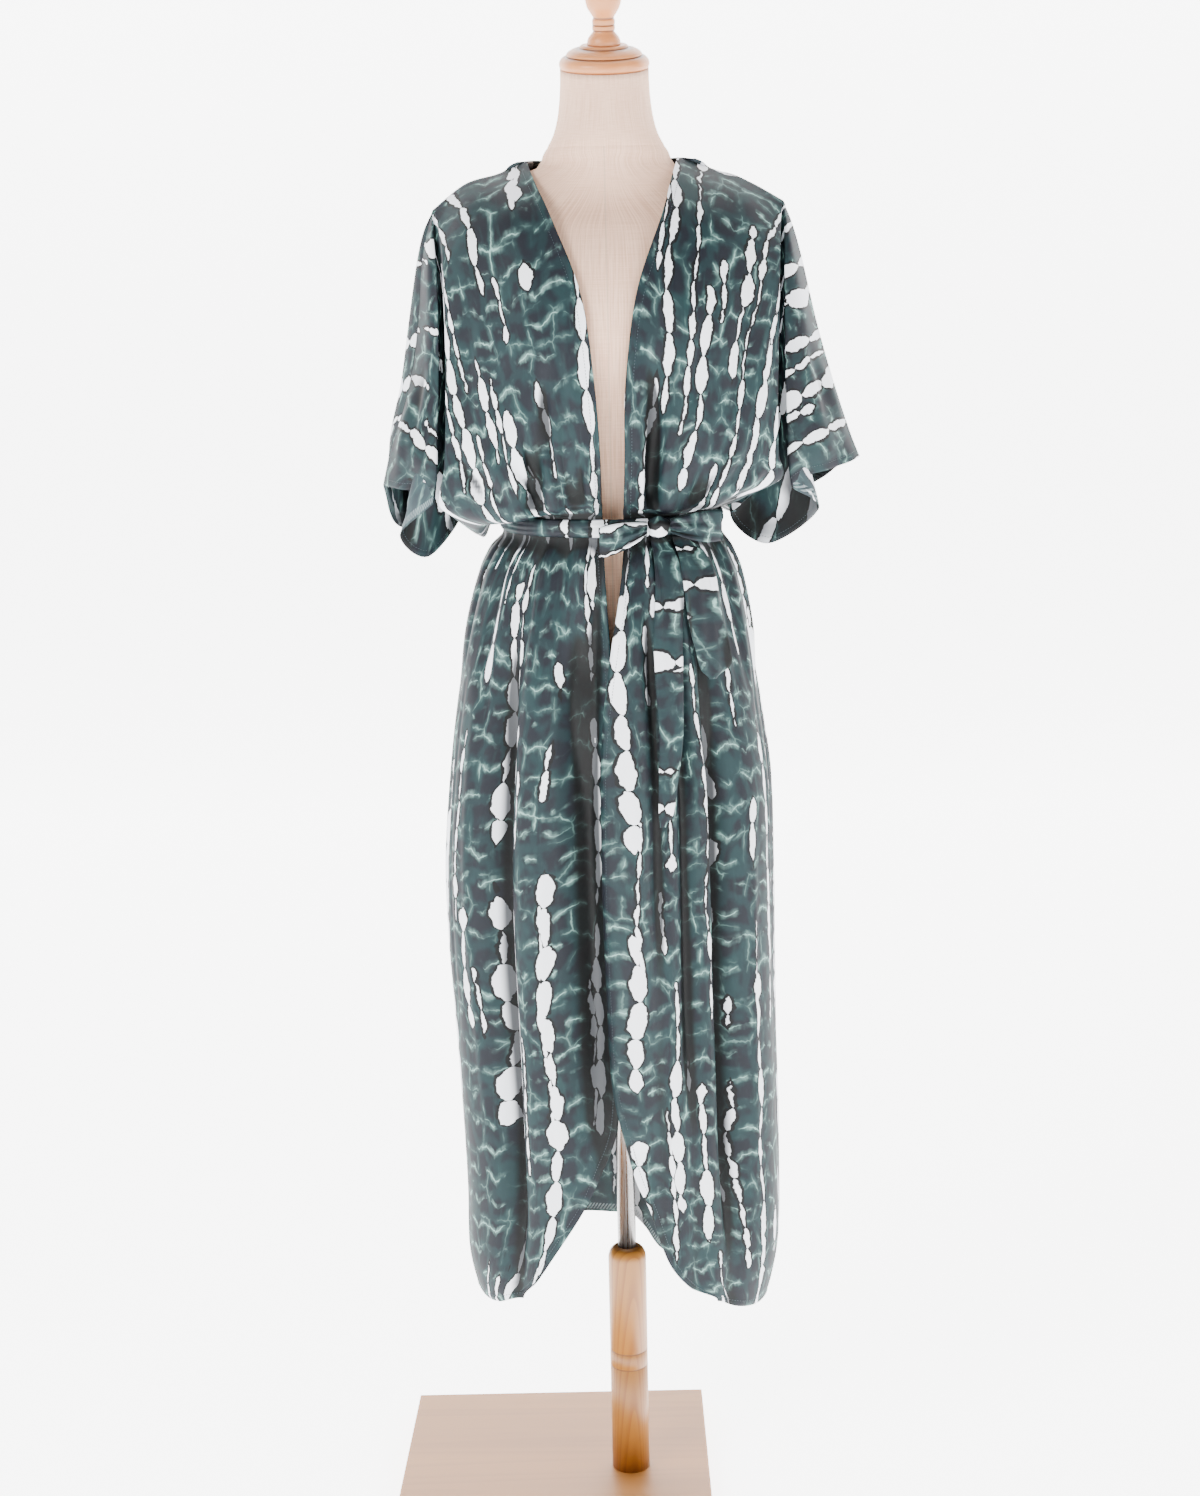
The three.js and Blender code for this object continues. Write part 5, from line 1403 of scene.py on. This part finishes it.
def bow_loop(name):
    """A ribbon that goes out over the front, turns at its tip and comes back behind."""
    shape = LOOPS[name]
    start, tip = np.array(shape["from"], float), np.array(shape["tip"], float)
    narrow, wide = shape["widths"]
    turn = np.pi * np.arange(LOOP_STEPS + 1) / LOOP_STEPS
    out = np.abs(np.sin(turn)) ** 0.8
    front = np.cos(turn)
    middle = start + (tip - start) * out[:, None]
    width = narrow + (wide - narrow) * np.sin(np.pi * np.minimum(1, out * 0.62))
    lift = np.where(front > 0, LOOP_SWELL, LOOP_GAP) * front * np.sin(np.pi * out * 0.5 + 0.6)
    part = np.linspace(-0.5, 0.5, 13)
    rows = np.zeros((LOOP_STEPS + 1, len(part), 3))
    rows[..., 0] = middle[:, None, 0]
    rows[..., 1] = (middle[:, 1] - lift)[:, None]
    rows[..., 2] = middle[:, None, 2] + part * width[:, None]
    # soft folds that run out from the knot and die away at the tip
    fade = (1 - smooth(0.25, 1.0, out))[:, None]
    face = np.sign(front)[:, None]
    rows[..., 1] -= fade * (1.6 * np.cos(part * 17 + 0.7) + 0.8 * np.cos(part * 29)) * face
    rows[..., 1] += 1.5 * (2 * part) ** 2 * face * (1 - fade)
    # each loop is cut from another place of the cloth
    over = part * 0.034 + 0.3 * (1 + list(LOOPS).index(name))
    plan = np.stack(np.broadcast_arrays(over, lengths(rows)[:, None]), -1)
    return shell(name + "_ribbon", [sheet_of(rows, plan, 1.0, tip[0] < start[0])], (viscose, viscose))[0]


def belt_tail(name, table):
    """A tail that hangs on the skirt, bridging its folds, with its middle raised a little."""
    part = np.arange(TAIL_COLUMNS + 1) / TAIL_COLUMNS
    rows = []
    for z in between_rows([row[0] for row in table], [6] * len(table)):
        left, right = read(table, z, 1), read(table, z, 2)
        x = left + (right - left) * part
        bearing = bearing_of(x, z)
        relief = np.maximum(0, -skirt_relief(bearing, z))
        ripple = 0.9 * np.sin(np.pi * part) + 0.5 * np.sin(x * 0.5 + z * 0.02)
        rows.append(skirt_point(bearing, z, relief + TAIL_LIFT + lap_lift(x, z) + ripple))
    rows = np.array(rows)
    wide = np.linspace(-0.5, 0.5, TAIL_COLUMNS + 1)
    plan = np.stack(np.broadcast_arrays(lengths(rows)[:, None] + len(name) * 0.21, wide * 0.026), -1)
    return shell(name + "_strip", [sheet_of(rows, plan, 1.0, False)], (viscose, viscose))[0]


def knot():
    """A pulled knot: a round bundle with the folds of the strip slanting round it."""
    steps, rings = 48, 33
    turn = 2 * np.pi * np.arange(steps) / steps
    rise = np.pi * np.arange(rings) / (rings - 1)
    theta, phi = np.meshgrid(turn, rise)
    wraps = 1 + 0.09 * np.cos(5 * phi + 0.9 * np.sin(theta) + 0.6) * np.sin(phi)
    wraps += 0.05 * np.cos(3 * theta + 4 * phi) * np.sin(phi)
    wraps = np.minimum(wraps, 1.1)
    ball = np.stack([np.sin(phi) * np.cos(theta), np.sin(phi) * np.sin(theta), np.cos(phi)], -1)
    points = np.array(KNOT["at"]) + ball * wraps[..., None] * KNOT["radii"]
    faces, uvs = [], []
    for i in range(rings - 1):
        for j in range(steps):
            n = (j + 1) % steps
            ring = [i * steps + j, (i + 1) * steps + j, (i + 1) * steps + n, i * steps + n]
            faces.append(ring)
            uvs += [(0.9 + 0.01 * u, 0.035 * w) for u, w in (
                (i / rings, j / steps), ((i + 1) / rings, j / steps),
                ((i + 1) / rings, (j + 1) / steps), (i / rings, (j + 1) / steps))]
    piece = finish_mesh("bow_knot", points.reshape(-1, 3), faces, uvs, [viscose])
    close_poles(piece)
    return piece


def close_poles(piece):
    """Merges the points that fall together at a pole or on an axis."""
    shape = bmesh.new()
    shape.from_mesh(piece.data)
    bmesh.ops.remove_doubles(shape, verts=shape.verts, dist=0.02 * MM)
    shape.to_mesh(piece.data)
    shape.free()


loop_right, loop_left = bow_loop("bow_loop_right"), bow_loop("bow_loop_left")
tail_long, tail_short = belt_tail("belt_tail_long", TAIL_LONG), belt_tail("belt_tail_short", TAIL_SHORT)
bow_knot = knot()

# %% [markdown]
# ## The dress form
# A hollow body of papier mache or foam, covered in tight linen with a seam down the front and one
# round the base of the neck. The linen has thick and thin threads that run up and down.

# %% Linen cover
def tube_faces(rows, steps):
    """Quads of a closed tube of rows of points, each with the same steps round."""
    return [[i * steps + j, i * steps + n, (i + 1) * steps + n, (i + 1) * steps + j]
            for i in range(rows - 1) for j, n in zip(range(steps), [*range(1, steps), 0])]


FORM_STEPS, FORM_TOP, TILT_FROM = 128, FORM[-1][0], 1425
CAP_TILT = math.radians(12)
NECK_SEAM = 1398


def linen_cover():
    """The form as a finer loft, closed by flat ends; the neck's top leans with the cap."""
    heights = [z for a, b in zip(FORM, FORM[1:])
               for z in np.linspace(a[0], b[0], 1 + max(1, round((b[0] - a[0]) / 6)))[:-1]]
    heights = np.array(heights + [FORM_TOP], float)
    heights = np.sort(np.concatenate([heights, NECK_SEAM + np.array([-1.6, -0.8, 0.01, 0.8, 1.6])]))
    bearing = np.degrees(2 * np.pi * np.arange(FORM_STEPS) / FORM_STEPS)
    rows = []
    for z in heights:
        x, y = section(read(FORM, z, 1), read(FORM, z, 2), read(FORM, z, 3), bearing, read(FORM, z, 4))
        groove = 1 - 0.012 * bell(z - NECK_SEAM, 1.2)
        tilt = y * math.tan(CAP_TILT) * smooth(TILT_FROM, FORM_TOP, z)
        rows.append(np.stack([x * groove, y * groove, z + tilt], -1))
    points = np.array(rows).reshape(-1, 3)
    around = lengths(np.array(rows).transpose(1, 0, 2))
    around = np.append(around, around[-1] + around[1])
    faces = tube_faces(len(heights), FORM_STEPS)
    uvs = [(around[j + dj], heights[i + di] * MM)
           for i in range(len(heights) - 1) for j in range(FORM_STEPS)
           for dj, di in ((0, 0), (1, 0), (1, 1), (0, 1))]
    top = (len(heights) - 1) * FORM_STEPS
    faces += [list(range(FORM_STEPS))[::-1], list(range(top, top + FORM_STEPS))]
    uvs += [(x * MM, y * MM) for x, y, _ in points[:FORM_STEPS][::-1]]
    uvs += [(x * MM, y * MM) for x, y, _ in points[top:]]
    return finish_mesh("form_cover", points, faces, uvs, [linen])


def linen_material():
    """Beige-pink linen: slubs run up and down, finer threads across, one seam down the front."""
    material, tree, bsdf = new_material("linen", Roughness=0.85, Sheen_Weight=0.1)
    plan = add(tree, "ShaderNodeUVMap", uv_map="plan")
    slubs = noise(tree, plan, 1.0, 2.0, (900.0, 22.0, 1.0))
    weft = noise(tree, plan, 1.0, 2.0, (30.0, 1200.0, 1.0))
    threads = maths(tree, "ADD", maths(tree, "MULTIPLY", slubs, 0.7), maths(tree, "MULTIPLY", weft, 0.3))
    tone = blend(tree, between(tree, threads, 0.36, 0.64), colour("#d3a78c"), colour("#e9c2a7"))
    x, y, z = split(tree, add(tree, "ShaderNodeTexCoord", out=3))
    off = maths(tree, "ABSOLUTE", maths(tree, "SUBTRACT", x, -0.002))
    seam = product(tree, between(tree, off, 0.0012, 0.0003, 0.0, 0.45), between(tree, y, 0.0, -0.01),
                   between(tree, z, NECK_SEAM * MM, NECK_SEAM * MM - 0.001))
    tone = blend(tree, seam, tone, colour("#b99d8a"))
    tree.links.new(tone, bsdf.inputs["Base Color"])
    bumped(tree, bsdf, threads, 0.25, 0.0004)
    return material


# The cover's tight undyed linen
linen = linen_material()
form_cover = linen_cover()

# %% [markdown]
# ## Wood and steel
# The cap and the finial are turned from a close-grained peach wood, the dowel from a warm brown one
# with a wide grain, both with rings cut by the chisel. The board is softwood with its grain across, and
# the pole is a brushed steel tube.

# %% Wood and steel materials
def wood_material(name, light, dark, stretch, lines, line_depth, roughness=0.42):
    """Wood read from object coordinates: rings cut lengthwise show as wavy lines along the grain."""
    material, tree, bsdf = new_material(name, Roughness=roughness, Coat_Weight=0.15, Coat_Roughness=0.3)
    place = add(tree, "ShaderNodeTexCoord", out=3)
    wander = noise(tree, place, 9.0, 2.0, stretch)
    grain = maths(tree, "FRACT", maths(tree, "MULTIPLY", wander, lines))
    late = product(tree, between(tree, grain, 0.35, 0.9), between(tree, grain, 1.0, 0.92))
    pores = noise(tree, place, 260.0, 2.0, stretch)
    tone = blend(tree, noise(tree, place, 14.0, 2.0, stretch), colour(light), colour(dark))
    tone = blend(tree, maths(tree, "MULTIPLY", late, line_depth), tone, colour(dark))
    tone = blend(tree, between(tree, pores, 0.58, 0.75, 0.0, 0.25), tone, colour(dark))
    # painted shade: the colour is darkened along the grooves cut by the chisel
    ring = add(tree, "ShaderNodeAttribute", attribute_name="groove", out=2)
    tone = blend(tree, maths(tree, "MULTIPLY", ring, 0.85), tone, colour("#4e2812"))
    tree.links.new(tone, bsdf.inputs["Base Color"])
    bumped(tree, bsdf, pores, 0.08, 0.0003)
    return material


# The dowel, the cap with its finial, and the board
turned = wood_material("stained pine, turned", "#c68a3a", "#87501c", (1.0, 1.0, 0.07), 34.0, 0.6)
peach = wood_material("beech, turned", "#df9a60", "#b36a36", (1.0, 1.0, 0.25), 12.0, 0.3)
board = wood_material("pine board", "#bd813e", "#925c26", (0.05, 1.0, 1.0), 16.0, 0.28, 0.5)


def steel_material():
    """Brushed steel: fine scratches that run up the tube."""
    material, tree, bsdf = new_material("brushed steel", Metallic=1.0, Roughness=0.3)
    place = add(tree, "ShaderNodeTexCoord", out=3)
    lines = noise(tree, place, 1.0, 2.0, (900.0, 900.0, 12.0))
    tone = blend(tree, lines, colour("#8f8c8b"), colour("#c2bfbd"))
    tree.links.new(tone, bsdf.inputs["Base Color"])
    tree.links.new(between(tree, lines, 0.3, 0.7, 0.22, 0.38), bsdf.inputs["Roughness"])
    return material


# The pole
steel = steel_material()
print("materials", len(bpy.data.materials))

# %% Turned pieces, pole and board
LATHE_STEPS = 64


def lathe(name, profile, material, grooves=(), seat=None):
    """A turned piece from radius and height in millimetres; seat places it on the tilted neck.

    Painted shade darkens the colour along the grooves, whose heights are listed."""
    radius, height = np.asarray(profile, float).T
    radius = np.maximum(radius, 0)
    turn = 2 * np.pi * np.arange(LATHE_STEPS) / LATHE_STEPS
    points = np.stack([radius[:, None] * np.cos(turn), radius[:, None] * np.sin(turn),
                       height[:, None] * np.ones(LATHE_STEPS)], -1).reshape(-1, 3)
    if seat is not None:
        s, c = math.sin(CAP_TILT), math.cos(CAP_TILT)
        points = points @ np.array([[1, 0, 0], [0, c, s], [0, -s, c]]) + seat
    piece = finish_mesh(name, points, tube_faces(len(radius), LATHE_STEPS), [], [material])
    depth = sum(bell(height - at, 0.8) for at in grooves) * np.ones(len(height))
    keep_values(piece, "groove", np.repeat(depth, LATHE_STEPS))
    close_poles(piece)
    return piece


def eased(profile, hard=()):
    """Splines between the hard corners of a profile, given by their places in it."""
    stops = [0, *hard, len(profile) - 1]
    line = [profile[0]]
    for a, b in zip(stops, stops[1:]):
        if b > a:
            line += along(profile[a:b + 1], [5] * (b - a)).tolist()[1:]
    return line


# radius, height above the neck
CAP_PROFILE = [
    [0, 0.3], [40.5, 0.3], [42, 1.6], [42.8, 4.5], [42, 8], [39, 11.2], [35.2, 12.2], [36, 13.5], [34, 16],
    [29, 18.6], [23.4, 19.5], [23.2, 20.6], [21.5, 22], [0, 22],
]

FINIAL_PROFILE = [
    [0, 22.3], [15.8, 22.3], [15.7, 25.3], [14.8, 28], [13.2, 30.4], [10.6, 33.4], [9.9, 35], [10.7, 36],
    [10.7, 39.2], [9.9, 40], [10.7, 40.8], [10.7, 44.6], [9.9, 45.6], [9.9, 47], [12.9, 51.7], [15.3, 55.8],
    [16.8, 61], [17.5, 66.5], [17.6, 72], [17, 79], [14.5, 86], [10, 91.5], [5, 94.3], [0, 94.8],
]

DOWEL_RADIUS, DOWEL_TOP, SHOULDER, BASE_THICK = 20, 274, 13, 20
DOWEL_GROOVES, GROOVE_DEPTH = (139, 157), 0.6
POLE_RADIUS, FORM_BOTTOM = 9.5, FORM[0][0]
dowel_profile = [(0, BASE_THICK), (DOWEL_RADIUS, BASE_THICK)]
for groove in DOWEL_GROOVES:
    dowel_profile += [(DOWEL_RADIUS, groove - 1), (DOWEL_RADIUS - GROOVE_DEPTH, groove - 0.4),
                      (DOWEL_RADIUS - GROOVE_DEPTH, groove + 0.4), (DOWEL_RADIUS, groove + 1)]
for angle in np.linspace(0, math.pi / 2, 11):
    dowel_profile.append((DOWEL_RADIUS - 0.75 * SHOULDER * (1 - math.cos(angle)),
                          DOWEL_TOP - SHOULDER + SHOULDER * math.sin(angle)))
dowel_profile.append((0, DOWEL_TOP))
neck_seat = np.array([0, 0, FORM_TOP])
cap_piece = lathe("cap_turned", eased(CAP_PROFILE, (1, 6, 10, 12)), peach, (12.2, 19.6), seat=neck_seat)
finial_piece = lathe("finial_turned", eased(FINIAL_PROFILE, (1, 6, 9, 13)), peach, (35, 40, 46.3),
                     seat=neck_seat)
dowel_piece = lathe("dowel_turned", dowel_profile, turned, DOWEL_GROOVES)
pole_piece = lathe("pole_tube", [(0, DOWEL_TOP), (POLE_RADIUS, DOWEL_TOP), (POLE_RADIUS, FORM_BOTTOM),
                                 (0, FORM_BOTTOM)], steel)
frame_board = bpy.data.objects["base_plate"]
frame_board.data.materials.clear()
frame_board.data.materials.append(board)

# %% Everything rides on the root
pieces = {
    "front_right": front_right, "front_left": front_left, "back": back, "belt_band": band,
    "belt_knot": bow_knot, "bow_loop_right": loop_right, "bow_loop_left": loop_left,
    "belt_tail_long": tail_long, "belt_tail_short": tail_short, "form_torso": form_cover,
    "neck_cap": cap_piece, "finial": finial_piece, "pole": pole_piece, "dowel": dowel_piece,
}
slots = {"form_torso": "form_linen", "neck_cap": "turned_wood", "finial": "turned_wood",
         "dowel": "turned_wood", "pole": "steel"}
for node, piece in pieces.items():
    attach(piece, "root")
    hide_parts(node)
    slots.get(node, "printed_cloth")
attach(stitches, "root")

# Cut sizes in metres: (width, length), and the area where the cut isn't a rectangle.
CUTS = (
    (front_right, (0.45, 1.15), 0.30, "hung", [form_cover]),
    (front_left, (0.45, 1.15), 0.31, "hung", [form_cover]),
    (back, (0.90, 1.15), 0.60, "hung", [form_cover]),
    (band, (0.020, 0.68), None, "folded", [front_right, front_left, back]),
    (loop_right, (0.028, 0.110), None, "folded", [bow_knot]),
    (loop_left, (0.028, 0.105), None, "folded", [bow_knot]),
    (tail_long, (0.026, 0.280), None, "hung", [bow_knot]),
    (tail_short, (0.032, 0.150), None, "hung", [bow_knot]),
)
for piece, flat, area, held, rests_on in CUTS:
    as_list(rests_on)
    surface = sum(p.area for p in piece.data.polygons) / 2
    print(piece.name, "half surface", round(surface, 4), "flat", round(area or flat[0] * flat[1], 4))

# %% Boxes and finish
visual_box = [list(corner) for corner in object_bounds()]
print("visual box", [[round(v, 3) for v in corner] for corner in visual_box])
